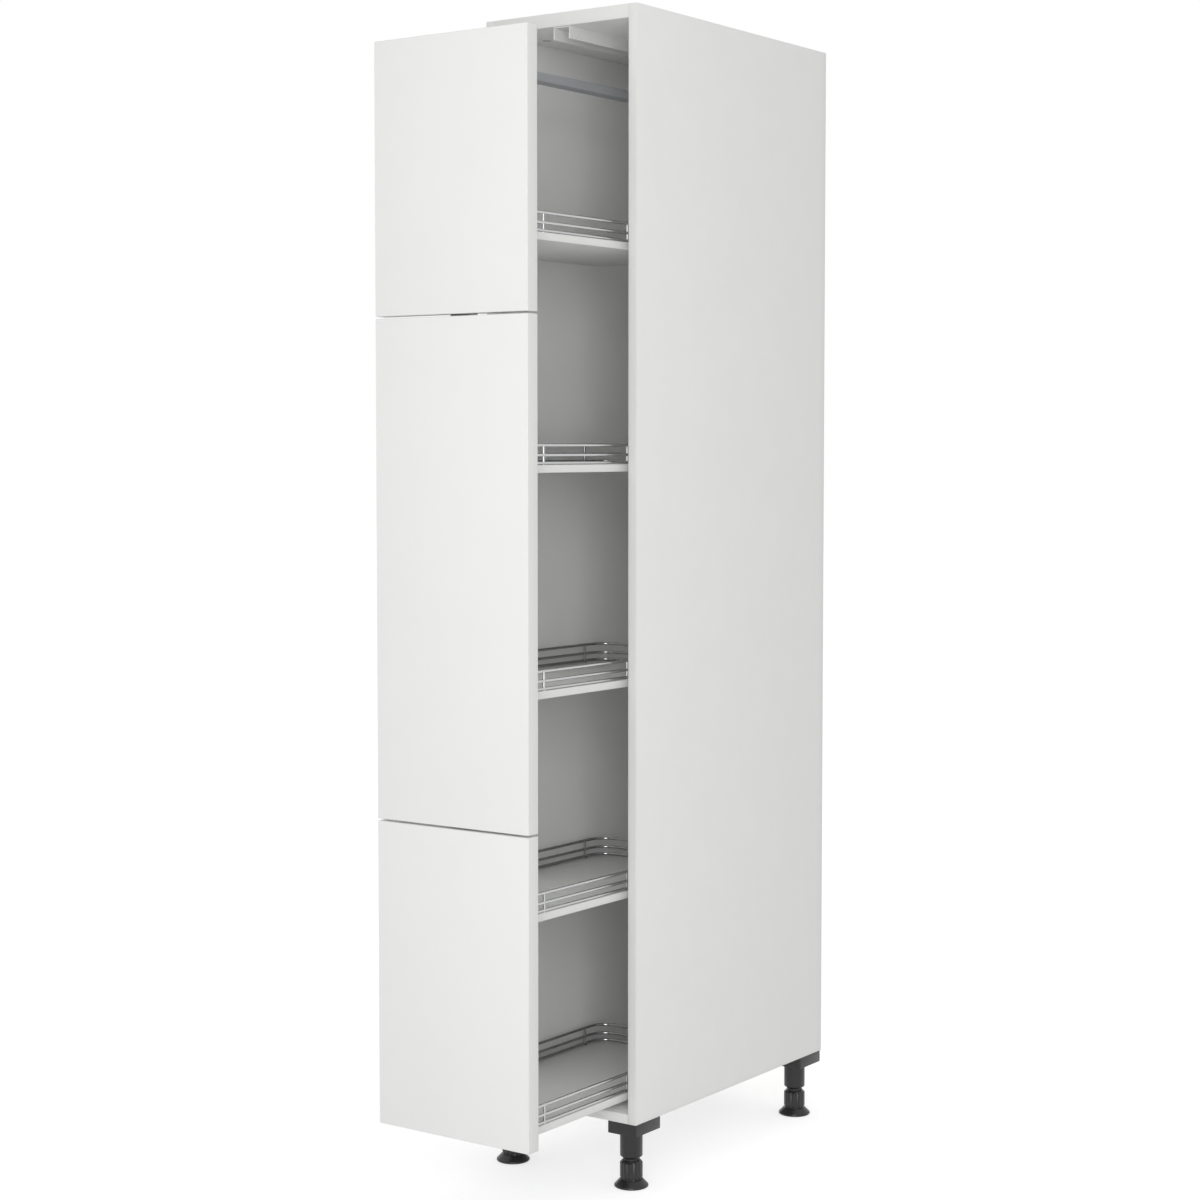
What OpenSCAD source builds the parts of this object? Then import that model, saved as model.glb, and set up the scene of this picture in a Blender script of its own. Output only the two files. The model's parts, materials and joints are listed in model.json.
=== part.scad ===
// Pull-out larder unit: a tall, narrow kitchen cabinet whose three fronts ride on one
// full-extension frame with five railed trays, shown drawn part of the way out.
// Millimetres. X is the width, -Y is the front, Z is up and the floor is Z = 0.
// Inside the modules Y = 0 is the front edge of the carcass and Z = 0 its underside.

/* [Carcass] */
// Outer width of the cabinet
cabinet_w = 300; // [290:5:400]
// Depth of the side panels
cabinet_d = 590; // [575:5:620]
// Height of the side panels
cabinet_h = 1785; // [1700:5:2100]
// Thickness of the sides, the bottom and the rear rails
board_t = 16; // [15:1:19]
// Thickness of the top panel
top_t = 22; // [16:1:25]
// Thickness of the back panel
back_t = 4; // [3:0.5:6]
// Distance from the rear edges of the sides to the back panel
back_inset = 20; // [20:1:24]
// Height of each rear rail
rear_rail_h = 100; // [80:5:140]
// Distance between the two wall-fixing holes in the upper rear rail
wall_hole_spacing = 160; // [120:10:200]
// Diameter of the wall-fixing holes
wall_hole_d = 7; // [6:0.5:9]

/* [Fronts] */
// Thickness of the fronts
front_t = 25; // [19:1:28]
// Height of the bottom front
bottom_front_h = 482; // [400:2:560]
// Height of the top front
top_front_h = 423; // [350:1:500]
// Gap between one front and the next
front_gap = 3; // [2:0.5:5]
// Overlap left free at each side of the fronts
front_side_gap = 1.5; // [1:0.5:3]
// Distance from the underside of the carcass to the bottom front
front_rise = 22; // [16:1:30]
// Distance from the top of the carcass down to the top front
front_drop = 71; // [40:1:90]
// Distance between a closed front and the carcass
closed_gap = 2; // [2:0.5:4]

/* [Pull-out] */
// How far the pull-out is drawn out at rest
rest_pull = 255; // [0:5:480]
// Full travel of the pull-out
travel = 500; // [480:5:500]
// Width of the frame's two posts
post_w = 40; // [34:1:50]
// Depth of the frame's two posts
post_d = 20; // [18:1:24]
// Wall of the posts and of the top bar
tube_wall = 1.5; // [1.2:0.1:2]
// Width of the frame's top bar
bar_w = 25; // [20:1:34]
// Height of the frame's top bar
bar_h = 15; // [12:1:20]
// Distance from the top bar to the top panel
guide_room = 82; // [75:1:95]
// Thickness of the frame's base plate
plate_t = 2.5; // [2.5:0.5:4]
// Distance from the rear post to the back panel when the unit is shut
rear_clear = 8; // [5:1:15]

/* [Trays] */
// Gap between each tray and the cabinet side
tray_side_gap = 14; // [10:1:20]
// Thickness of the tray boards
tray_board_t = 12; // [10:1:14]
// Radius of the front corners of the trays
tray_front_r = 20; // [15:1:24]
// Radius of the rear corners of the trays
tray_rear_r = 38; // [25:1:45]
// Height of the second tray above the first
second_tray_height = 330; // [250:1:350]
// Height of the third tray above the second
third_tray_height = 342; // [250:1:350]
// Height of the fourth tray above the third
fourth_tray_height = 345; // [250:1:345]
// Distance from the frame's top bar down to the top tray
top_tray_drop = 264; // [250:1:300]
// Diameter of the rail wire
wire_d = 5; // [4:0.5:6]
// Distance from wire to wire in the rail
wire_pitch = 15; // [13:0.5:20]
// Diameter of the rail's upright wires
upright_d = 4; // [3:0.5:4.5]
// Distance from the tray's edge to the middle of the wire
wire_inset = 4; // [3.5:0.5:8]
// Distance from the bends of a rail to the upright wires next to them
upright_in = 14; // [6:1:30]

/* [Runners] */
// Length of the bottom runners
runner_l = 500; // [490:5:510]
// Width of one runner
runner_w = 45.6; // [44:0.2:50]
// Height of one runner
runner_h = 12.8; // [12.8:0.2:15]
// Distance between the middles of the two runners
runner_spacing = 60; // [54:1:80]
// Distance from the front of the carcass to the runners
runner_front = 15; // [8:1:25]
// Sheet of the cabinet and inner members
runner_sheet = 1.5; // [1.2:0.1:1.6]
// Diameter of the bearing balls
ball_d = 4; // [3.8:0.1:4]
// Width of the top guide channel
channel_w = 32; // [28:1:40]
// Height of the top guide channel
channel_h = 20; // [20:1:24]

/* [Feet] */
// Height of the feet with the pads screwed home
foot_h = 110; // [110:1:130]
// Distance from the foot's axis to the side of the cabinet
foot_side = 29; // [28:1:60]
// Distance from the front foot's axis to the front of the carcass
foot_front = 29; // [28:1:80]
// Distance from the rear foot's axis to the rear edge of the sides
foot_rear = 45; // [44:1:90]
// Diameter of the leg
leg_d = 37; // [34:1:42]
// Diameter of the pad
pad_d = 56; // [50:1:58]
// How far a pad can be screwed out
foot_travel = 20; // [10:1:20]

/* [Hidden] */
$fn = 48;
SIDES = [-1, 1];
TRAYS = [0, 1, 2, 3, 4];
// How far a cutter sticks out of the piece that it cuts.
cut = 1;

// Carcass
inner_w = cabinet_w - 2 * board_t;
inner_top = cabinet_h - top_t;
groove_d = 8;
groove_clear = 0.2;
groove_spare = 0.5;
back_front = cabinet_d - back_inset - back_t;
cam_from_side = 34;
cam_r = 7.4;
cam_h = 12;
cam_axis_z = 8;
cam_clear = 0.1;
cam_past_front_foot = 70;
cam_before_rear_foot = 60;
cam_y = [foot_front + cam_past_front_foot, cabinet_d - foot_rear - cam_before_rear_foot];
cam_bolt_r = 2.9;
cam_bolt_in_side = 11;
dowel_r = 3.95;
dowel_l = 30;
dowel_in_side = 10;
dowel_past_foot = 7;
dowel_y = [foot_front + dowel_past_foot, cabinet_d - foot_rear + dowel_past_foot];
drill_clear = 0.05;
drill_end = 1;

// Where things stand in the part's own frame
unit_depth = front_t + closed_gap + rest_pull + cabinet_d;
front_y = front_t + closed_gap + rest_pull - unit_depth / 2;

// Fronts
front_w = cabinet_w - 2 * front_side_gap;
fronts_top = cabinet_h - front_drop;
middle_front_h = fronts_top - front_rise - bottom_front_h - top_front_h - 2 * front_gap;
front_heights = [bottom_front_h, middle_front_h, top_front_h];
front_levels = [
    front_rise,
    front_rise + bottom_front_h + front_gap,
    fronts_top - top_front_h
];
front_edge_r = 1.5;

// Pull-out frame
tube_r = 2.5;
frame_front = -closed_gap;
frame_end = back_front - rear_clear;
frame_floor = board_t + runner_h;
post_foot = frame_floor + plate_t;
bar_top = inner_top - guide_room;
bar_foot = bar_top - bar_h;
post_front_y = [frame_front, frame_end - post_d];
base_plate_w = runner_spacing + runner_w;
plate_corner_r = 4;

// Trays and their hangers
hanger_t = 2;
hanger_w = 60;
hanger_reach = 32;
hanger_rise = 34;
bend_r = 1;
tray_w = inner_w - 2 * tray_side_gap;
tray_front = frame_front + post_d + hanger_t + bend_r;
tray_end = frame_end - post_d - hanger_t - bend_r;
tray_l = tray_end - tray_front;
second_tray = post_foot + hanger_t + second_tray_height;
third_tray = second_tray + third_tray_height;
tray_levels = [
    post_foot + hanger_t,
    second_tray,
    third_tray,
    third_tray + fourth_tray_height,
    bar_foot - top_tray_drop
];
hook_x = 10;
hook_t = 2;
hook_h = 14;
hook_neck = 6;
hook_nose = 2.2;
slot_clear = 0.3;
wire_r = wire_d / 2;
wire_float = 0.3;
wire_levels = [wire_r + wire_float, wire_pitch, 2 * wire_pitch];

// Front brackets
bracket_t = 2.5;
bracket_w = 32;
bracket_h = 50;
bracket_set_back = 2;
bracket_d = post_d - bracket_set_back;
bracket_screw_dz = 14;
bracket_screw_out = 20;
bracket_screw_x = post_w / 2 + bracket_screw_out;
bracket_at = [0.2, 0.8];

// Screws
screw_r = 1.9;
screw_hole_r = 2;
screw_head_r = 3.5;
screw_head_h = 1.6;
screw_in_board = 12;
flat_head_h = 0.7;
hole_spare = 0.5;
past_wall = 4;
hanger_screw_x = 20;
hanger_screw_in = 18;
screw_in_tray = 8;
head_clear_r = 4.2;

// Rivets that hold the base plate on the inner runner members, between the lowest hangers
rivet_from_end = 25;
rivet_front = max(frame_front + post_d + hanger_reach, runner_front) + rivet_from_end;
rivet_rear = min(frame_end - post_d - hanger_reach, runner_front + runner_l) - rivet_from_end;
rivet_ys = [rivet_front, (rivet_front + rivet_rear) / 2, rivet_rear];
rivet_r = 1.9;
rivet_head_r = 3.5;
rivet_head_h = 1.4;
rivet_tail_h = 1.1;

// Bottom runner section, measured from the cabinet floor
ball_r = ball_d / 2;
race_clear = 0.15;
race_lip = 0.4;
race_r = ball_r + race_clear;
race_wall = ball_r - race_lip;
race_z = 6.6;
runner_wall_top = 10.4;
middle_sheet = 1.8;
middle_floor = 2.6;
outer_ball_x = runner_w / 2 - runner_sheet - race_wall;
middle_wall_x = outer_ball_x - race_wall;
inner_ball_x = middle_wall_x - middle_sheet - race_wall;
inner_wall_x = inner_ball_x - race_wall;
inner_wall_foot = 4.7;
cage_t = 1;
cage_h = 4;
cage_spare = 10;
cage_l = runner_l / 2 - cage_spare;
cage_balls = 12;
cage_share = [0.25, 0.75];
cage_start = runner_front + travel / 4 + cage_spare / 2;
runner_screw_y = [0.08, 0.5, 0.92];

// Top guide
channel_wall = 1.5;
channel_front = 5;
channel_rear_gap = 2;
channel_end = back_front - channel_rear_gap;
channel_foot = inner_top - channel_h;
channel_screw_at = [0.08, 0.36, 0.64, 0.92];
roller_play = 0.3;
roller_r = channel_w / 2 - channel_wall - roller_play;
roller_h = 8;
roller_lift = 5;
roller_foot = channel_foot + roller_lift;
axle_r = 2.5;
axle_bore_r = 2.58;
axle_shoulder_r = 4;
axle_gap = 0.2;
axle_head_h = 1.5;
carriage_t = 2.5;
carriage_l = 54;
carriage_gap = 0.5;
carriage_top = channel_foot - carriage_gap;
axle_past_nut = 2;
roller_from_end = 11;
roller_gap = 1;
rear_roller_y = frame_end - roller_from_end;
roller_ends = [rear_roller_y, rear_roller_y - 2 * roller_r - roller_gap];

// Feet
foot_x = cabinet_w / 2 - foot_side;
foot_ys = [foot_front, cabinet_d - foot_rear];
flange_h = 20;
flange_side = 28;
flange_front = 28;
flange_rear = 44;
flange_top_t = 4;
flange_wall = 2.5;
flange_screw_x = [-22, 8];
flange_screw_y = [-22, 36];
leg_r = leg_d / 2;
leg_wall = 4.2;
leg_bore_r = leg_r - leg_wall;
leg_roof = 6;
leg_edge = 2;
spigot_r = 12;
spigot_h = 12;
spigot_clear = 0.1;
pad_r = pad_d / 2;
pad_rim = 4;
pad_h = 12;
pad_groove = 3;
pad_edge = 1.5;
throat_r = leg_r - 2;
collar_h = 28;
collar_chamfer = 3;
collar_edge = 1;
leg_gap = 7;
stem_clear = 0.3;
stem_r = leg_bore_r - stem_clear;
stem_hold = 13;
collar_foot = -foot_h + pad_h + pad_groove;
collar_top = collar_foot + collar_h;
leg_foot = collar_top + leg_gap;
stem_top = leg_foot + foot_travel + stem_hold;
grip_flutes = 12;
grip_flute_r = 1.6;
grip_flute_depth = 0.9;

// Door buffers
buffer_r = 4;
buffer_gap = 0.3;
buffer_h = closed_gap - buffer_gap;
buffer_from_end = 40;

// Colours
WHITE_BOARD = [0.93, 0.93, 0.92];
WHITE_FRONT = [0.96, 0.96, 0.95];
CHROME = [0.78, 0.79, 0.81];
ZINC = [0.66, 0.68, 0.70];
FRAME_GREY = [0.62, 0.63, 0.65];
BLACK_PLASTIC = [0.09, 0.09, 0.10];
BEECH = [0.80, 0.65, 0.45];
NYLON = [0.88, 0.88, 0.86];

NODES = [
    "left_side_panel", "right_side_panel", "top_panel", "bottom_panel", "back_panel",
    "upper_rear_rail", "lower_rear_rail", "cam_locks", "cam_bolts", "dowels", "door_buffers",
    "front_left_foot_flange", "front_right_foot_flange", "rear_left_foot_flange", "rear_right_foot_flange",
    "front_left_leg", "front_right_leg", "rear_left_leg", "rear_right_leg",
    "front_left_pad", "front_right_pad", "rear_left_pad", "rear_right_pad",
    "foot_screws",
    "left_runner_cabinet_member", "right_runner_cabinet_member",
    "left_runner_middle_member", "right_runner_middle_member",
    "left_runner_inner_member", "right_runner_inner_member",
    "outer_ball_cages", "inner_ball_cages", "runner_screws", "top_guide_channel",
    "base_plate", "front_post", "rear_post", "top_bar",
    "guide_carriage", "guide_axles", "front_guide_roller", "rear_guide_roller",
    "bottom_front", "middle_front", "top_front", "front_brackets", "bracket_screws",
    "tray_1_board", "tray_2_board", "tray_3_board", "tray_4_board", "tray_5_board",
    "tray_1_rail", "tray_2_rail", "tray_3_rail", "tray_4_rail", "tray_5_rail",
    "tray_hangers", "tray_screws", "base_rivets"
];
node = "all";

// ---- Places -------------------------------------------------------------------------

// A piece of the carcass.
module on_carcass() {
    translate([0, front_y, foot_h]) children();
}

// A piece that travels with the pull-out by a share of its way.
module on_runner(share) {
    translate([0, front_y - share * rest_pull, foot_h]) children();
}

// ---- Shared shapes ------------------------------------------------------------------

// A box from one corner to the other.
module block(low, high) {
    translate(low) cube(high - low);
}

// A rod along X from x0 to x1.
module rod_x(r, x0, x1) {
    translate([x0, 0, 0]) rotate([0, 90, 0]) cylinder(r = r, h = x1 - x0);
}

// A rod along Y from y0 to y1.
module rod_y(r, y0, y1) {
    translate([0, y0, 0]) rotate([-90, 0, 0]) cylinder(r = r, h = y1 - y0);
}

// A rectangle about X = 0 from Y = 0 to Y = l, with its own radius at either end.
module tray_outline(w, l, r_front, r_rear) {
    translate([-w / 2, r_front]) square([w, l - r_front - r_rear]);
    translate([-w / 2 + r_front, 0]) square([w - 2 * r_front, r_front]);
    translate([-w / 2 + r_rear, l - r_rear]) square([w - 2 * r_rear, r_rear]);
    for (s = SIDES) {
        translate([s * (w / 2 - r_front), r_front]) circle(r = r_front);
        translate([s * (w / 2 - r_rear), l - r_rear]) circle(r = r_rear);
    }
}

// A rectangle with rounded corners, from the origin.
module rounded_rectangle(w, d, r) {
    translate([r, 0]) square([w - 2 * r, d]);
    translate([0, r]) square([w, d - 2 * r]);
    for (x = [r, w - r], y = [r, d - r]) translate([x, y]) circle(r = r);
}

// The section of a tube, from the origin. Its corners are round outside and inside.
module tube_section(w, d) {
    difference() {
        rounded_rectangle(w, d, tube_r);
        translate([tube_wall, tube_wall])
            rounded_rectangle(w - 2 * tube_wall, d - 2 * tube_wall, tube_r - tube_wall);
    }
}

// The section of a sheet bent to a right angle: one leg along X and one along Y.
module angle_section(x_leg, y_leg, t) {
    turn = t + bend_r;
    difference() {
        union() {
            translate([turn, 0]) square([x_leg - turn, t]);
            translate([0, turn]) square([t, y_leg - turn]);
            intersection() {
                translate([turn, turn]) circle(r = turn);
                square([turn, turn]);
            }
        }
        translate([turn, turn]) circle(r = bend_r);
    }
}

// A pan-head screw along +Z with its head below Z = 0.
module screw(shank_l, head_h) {
    translate([0, 0, -head_h]) cylinder(r = screw_head_r, h = head_h);
    cylinder(r = screw_r, h = shank_l);
}

// ---- Carcass ------------------------------------------------------------------------

// The two edges of the top and bottom panels where fittings sit: their undersides.
module at_fittings(ys) {
    for (s = SIDES, y = ys, z = [0, inner_top]) {
        translate([s * inner_w / 2, y, z + cam_axis_z]) scale([s, 1, 1]) children();
    }
}

module cam_drillings() {
    at_fittings(cam_y) {
        rod_x(cam_bolt_r + cam_clear, -cam_from_side, cam_bolt_in_side + drill_end / 2);
        translate([-cam_from_side, 0, -cam_axis_z - cut])
            cylinder(r = cam_r + cam_clear, h = cam_h + cam_clear + cut);
    }
}

module dowel_drillings() {
    at_fittings(dowel_y) {
        rod_x(dowel_r + drill_clear, -(dowel_l - dowel_in_side) - drill_end, dowel_in_side + drill_end);
    }
}

module back_groove() {
    block(
        [-inner_w / 2 - groove_d, back_front - groove_clear, board_t - groove_d],
        [inner_w / 2 + groove_d, back_front + back_t + groove_clear, inner_top + groove_d]
    );
}

module side_panel(s) {
    color(WHITE_BOARD) on_carcass() difference() {
        translate([s * (inner_w + board_t) / 2 - board_t / 2, 0, 0]) cube([board_t, cabinet_d, cabinet_h]);
        back_groove();
        cam_drillings();
        dowel_drillings();
    }
}

module top_panel() {
    color(WHITE_BOARD) on_carcass() difference() {
        block([-inner_w / 2, 0, inner_top], [inner_w / 2, cabinet_d, cabinet_h]);
        back_groove();
        cam_drillings();
        dowel_drillings();
        for (y = channel_screw_ys()) translate([0, y, inner_top]) pilot();
    }
}

module bottom_panel() {
    color(WHITE_BOARD) on_carcass() difference() {
        block([-inner_w / 2, 0, 0], [inner_w / 2, cabinet_d, board_t]);
        back_groove();
        cam_drillings();
        dowel_drillings();
        at_runners() for (y = runner_screw_ys()) translate([0, y, 0]) mirror([0, 0, 1]) pilot();
        at_every_flange_screw() pilot();
    }
}

// The blind hole that a screw bites in, up from Z = 0.
module pilot() {
    translate([0, 0, -drill_end]) cylinder(r = screw_hole_r, h = screw_in_board + drill_end + hole_spare);
}

module back_panel() {
    reach = groove_d - groove_spare;
    color(WHITE_BOARD) on_carcass() block(
        [-inner_w / 2 - reach, back_front, board_t - reach],
        [inner_w / 2 + reach, back_front + back_t, inner_top + reach]
    );
}

module rear_rail(foot, drilled) {
    color(WHITE_BOARD) on_carcass() difference() {
        block([-inner_w / 2, cabinet_d - board_t, foot], [inner_w / 2, cabinet_d, foot + rear_rail_h]);
        if (drilled) for (s = SIDES) {
            translate([s * wall_hole_spacing / 2, 0, foot + rear_rail_h / 2])
                rod_y(wall_hole_d / 2, cabinet_d - board_t - cut, cabinet_d + cut);
        }
    }
}

// Cam discs with a cross recess, let into the undersides of the top and bottom panels.
module cam_locks() {
    recess = [9, 2, 1.5];
    color(ZINC) on_carcass() at_fittings(cam_y) difference() {
        translate([-cam_from_side, 0, -cam_axis_z]) cylinder(r = cam_r, h = cam_h);
        rod_x(cam_bolt_r + cam_clear, -cam_from_side, 0);
        translate([-cam_from_side, 0, -cam_axis_z]) {
            cube([recess.x, recess.y, 2 * recess.z], center = true);
            cube([recess.y, recess.x, 2 * recess.z], center = true);
        }
    }
}

module cam_bolts() {
    color(ZINC) on_carcass() at_fittings(cam_y)
        rod_x(cam_bolt_r, -cam_from_side + cam_clear, cam_bolt_in_side);
}

module dowels() {
    color(BEECH) on_carcass() at_fittings(dowel_y)
        rod_x(dowel_r, -(dowel_l - dowel_in_side), dowel_in_side);
}

// Soft discs on the backs of the top and bottom fronts, where these meet the sides.
module door_buffers() {
    color(NYLON) on_runner(1)
        for (s = SIDES, z = [front_rise + buffer_from_end, fronts_top - buffer_from_end]) {
            translate([s * (cabinet_w - board_t) / 2, 0, z])
                rod_y(buffer_r, frame_front, frame_front + buffer_h);
        }
}

// ---- Feet ---------------------------------------------------------------------------

// The foot at one corner: s is -1 at the left, and i is 0 at the front and 1 at the rear.
module at_foot(s, i) {
    translate([s * foot_x, foot_ys[i], 0]) children();
}

module at_every_flange_screw() {
    for (s = SIDES, i = [0, 1]) at_foot(s, i) at_flange_screws(s) children();
}

// The screws of one flange, all of them under the bottom panel.
module at_flange_screws(s) {
    for (x = flange_screw_x, y = flange_screw_y) translate([s * x, y, 0]) children();
}

// A moulded flange: a top plate, a skirt, a boss for the leg's spigot, and ribs.
module foot_flange(s, i) {
    rib_t = 2;
    outer = [2 * flange_side, flange_front + flange_rear];
    color(BLACK_PLASTIC) on_carcass() at_foot(s, i) difference() {
        union() {
            translate([-flange_side, -flange_front, -flange_h]) linear_extrude(flange_h) difference() {
                rounded_rectangle(outer.x, outer.y, 3);
                translate([flange_wall, flange_wall])
                    square([outer.x - 2 * flange_wall, outer.y - 2 * flange_wall]);
            }
            translate([-flange_side + 1, -flange_front + 1, -flange_top_t])
                cube([outer.x - 2, outer.y - 2, flange_top_t]);
            translate([0, 0, -flange_h]) cylinder(r = leg_r, h = flange_h - 1);
            block([-flange_side + 1, -rib_t / 2, -flange_h + 2], [flange_side - 1, rib_t / 2, -1]);
            block([-rib_t / 2, -flange_front + 1, -flange_h + 2], [rib_t / 2, flange_rear - 1, -1]);
        }
        translate([0, 0, -flange_h - cut])
            cylinder(r = spigot_r + spigot_clear, h = spigot_h + hole_spare + cut);
        at_flange_screws(s) translate([0, 0, -flange_top_t - cut])
            cylinder(r = screw_hole_r, h = flange_top_t + 2 * cut);
    }
}

// The leg: a tube with a rounded lower edge, a closed top and a spigot.
module foot_leg(s, i) {
    color(BLACK_PLASTIC) on_carcass() at_foot(s, i) difference() {
        union() {
            rotate_extrude() {
                translate([0, leg_foot + leg_edge]) square([leg_r, -flange_h - leg_foot - leg_edge]);
                translate([0, leg_foot]) square([leg_r - leg_edge, leg_edge]);
                translate([leg_r - leg_edge, leg_foot + leg_edge]) circle(r = leg_edge);
            }
            translate([0, 0, -flange_h]) cylinder(r = spigot_r, h = spigot_h);
        }
        translate([0, 0, leg_foot - cut])
            cylinder(r = leg_bore_r, h = -flange_h - leg_roof - leg_foot + cut);
    }
}

// The screw-out part of the foot: pad, fluted grip collar and stem in one piece.
module foot_pad(s, i) {
    color(BLACK_PLASTIC) on_carcass() at_foot(s, i) difference() {
        foot_pad_turned();
        for (k = [1 : grip_flutes]) rotate([0, 0, (k - 0.5) * 360 / grip_flutes])
            translate([leg_r + grip_flute_r - grip_flute_depth, 0, collar_foot - cut])
                cylinder(r = grip_flute_r, h = collar_h + 2 * cut);
    }
}

module foot_pad_turned() {
    rotate_extrude() polygon([
        [0, -foot_h],
        [pad_r - pad_edge, -foot_h],
        [pad_r, -foot_h + pad_edge],
        [pad_r, -foot_h + pad_rim],
        [leg_r + pad_edge, -foot_h + pad_h],
        [throat_r, -foot_h + pad_h],
        [throat_r, collar_foot],
        [leg_r - collar_edge, collar_foot],
        [leg_r, collar_foot + collar_edge],
        [leg_r, collar_top - collar_chamfer],
        [leg_r - collar_chamfer, collar_top],
        [stem_r, collar_top],
        [stem_r, stem_top - collar_edge],
        [stem_r - collar_edge, stem_top],
        [0, stem_top]
    ]);
}

module foot_screws() {
    color(ZINC) on_carcass() at_every_flange_screw()
        translate([0, 0, -flange_top_t]) screw(flange_top_t + screw_in_board, screw_head_h);
}

// ---- Bottom runners -----------------------------------------------------------------

module at_runners() {
    for (s = SIDES) at_runner(s) children();
}

module at_runner(s) {
    translate([s * runner_spacing / 2, runner_front, board_t]) children();
}

function runner_screw_ys() = [for (a = runner_screw_y) a * runner_l];

// A runner member: its section, drawn across X and Z, along its whole length.
module runner_bar() {
    translate([0, runner_l, 0]) rotate([90, 0, 0]) linear_extrude(runner_l) children();
}

module races(x) {
    for (s = SIDES) translate([s * x, race_z]) circle(r = race_r);
}

module wall_pair(x, t, z0, z1) {
    for (s = SIDES) translate([s * (x - t / 2) - t / 2, z0]) square([t, z1 - z0]);
}

module runner_cabinet_member(s) {
    color(ZINC) on_carcass() at_runner(s) difference() {
        runner_bar() difference() {
            union() {
                translate([-runner_w / 2, 0]) square([runner_w, runner_sheet]);
                wall_pair(runner_w / 2, runner_sheet, 0, runner_wall_top);
            }
            races(outer_ball_x);
        }
        for (y = runner_screw_ys()) translate([0, y, -cut])
            cylinder(r = screw_hole_r, h = runner_sheet + 2 * cut);
    }
}

module runner_middle_member(s) {
    color(ZINC) on_runner(0.5) at_runner(s) runner_bar() difference() {
        union() {
            translate([-middle_wall_x, middle_floor]) square([2 * middle_wall_x, runner_sheet]);
            wall_pair(middle_wall_x, middle_sheet, middle_floor, runner_wall_top);
        }
        races(outer_ball_x);
        races(inner_ball_x);
    }
}

module runner_inner_member(s) {
    color(ZINC) on_runner(1) difference() {
        at_runner(s) runner_bar() difference() {
            union() {
                translate([-inner_wall_x, runner_h - runner_sheet]) square([2 * inner_wall_x, runner_sheet]);
                wall_pair(inner_wall_x, runner_sheet, inner_wall_foot, runner_h);
            }
            races(inner_ball_x);
        }
        at_rivets() translate([0, 0, -runner_sheet - cut])
            cylinder(r = screw_hole_r, h = runner_sheet + 2 * cut);
    }
}

// A row of balls in its strip, at x from the middle of the runner.
module ball_row(x) {
    pitch = cage_l / cage_balls;
    translate([x, 0, race_z]) {
        block([-cage_t / 2, 0, -cage_h / 2], [cage_t / 2, cage_l, cage_h / 2]);
        for (k = [0 : cage_balls - 1]) translate([0, (k + 0.5) * pitch, 0]) sphere(r = ball_r);
    }
}

module ball_cages(level, x) {
    color(NYLON) on_runner(cage_share[level]) translate([0, cage_start, board_t])
        for (r = SIDES, s = SIDES) translate([r * runner_spacing / 2, 0, 0])
            ball_row(s * x);
}

// Flat-headed screws through the cabinet members and the top guide channel.
module runner_screws() {
    color(ZINC) on_carcass() {
        at_runners() for (y = runner_screw_ys())
            translate([0, y, runner_sheet]) mirror([0, 0, 1])
                screw(runner_sheet + screw_in_board, flat_head_h);
        for (y = channel_screw_ys()) translate([0, y, inner_top - channel_wall])
            screw(channel_wall + screw_in_board, screw_head_h);
    }
}

// ---- Top guide ----------------------------------------------------------------------

function channel_screw_ys() =
    [for (a = channel_screw_at) channel_front + a * (channel_end - channel_front)];

module top_guide_channel() {
    color(WHITE_FRONT) on_carcass() difference() {
        block([-channel_w / 2, channel_front, channel_foot], [channel_w / 2, channel_end, inner_top]);
        block(
            [-channel_w / 2 + channel_wall, channel_front - cut, channel_foot - cut],
            [channel_w / 2 - channel_wall, channel_end + cut, inner_top - channel_wall]
        );
        for (y = channel_screw_ys()) translate([0, y, inner_top - channel_wall - cut])
            cylinder(r = screw_hole_r, h = channel_wall + 2 * cut);
    }
}

// A pressed bracket on the rear end of the top bar that holds the two roller axles.
module guide_carriage() {
    start = frame_end - carriage_l;
    color(FRAME_GREY) on_runner(1) difference() {
        union() {
            block([-bar_w / 2, start, bar_top], [bar_w / 2, frame_end, bar_top + carriage_t]);
            block([-carriage_t / 2, start, bar_top], [carriage_t / 2, frame_end, carriage_top]);
            block([-bar_w / 2, start, carriage_top - carriage_t], [bar_w / 2, frame_end, carriage_top]);
        }
        for (y = roller_ends) translate([0, y, carriage_top - carriage_t - axle_past_nut - cut])
            cylinder(r = axle_r + drill_clear, h = carriage_t + axle_past_nut + 2 * cut);
    }
}

// Shouldered axles: a spigot in the carriage, a shoulder, a journal and a head.
module guide_axles() {
    spigot = carriage_t + axle_past_nut;
    shoulder = roller_foot - axle_gap - carriage_top;
    journal = roller_h + 2 * axle_gap;
    color(CHROME) on_runner(1) for (y = roller_ends) translate([0, y, carriage_top]) {
        translate([0, 0, -spigot]) cylinder(r = axle_r, h = spigot);
        cylinder(r = axle_shoulder_r, h = shoulder);
        translate([0, 0, shoulder]) cylinder(r = axle_r, h = journal);
        translate([0, 0, shoulder + journal]) cylinder(r = axle_shoulder_r, h = axle_head_h);
    }
}

module guide_roller(i) {
    edge = 1;
    color(NYLON) on_runner(1) translate([0, roller_ends[i], roller_foot]) difference() {
        rotate_extrude() polygon([
            [0, 0],
            [roller_r - edge, 0],
            [roller_r, edge],
            [roller_r, roller_h - edge],
            [roller_r - edge, roller_h],
            [0, roller_h]
        ]);
        translate([0, 0, -cut]) cylinder(r = axle_bore_r, h = roller_h + 2 * cut);
    }
}

// ---- Pull-out frame -----------------------------------------------------------------

// The places on the base plate where it is riveted to the inner runner members.
module at_rivets() {
    for (s = SIDES, y = rivet_ys) translate([s * runner_spacing / 2, y, frame_floor]) children();
}

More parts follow.
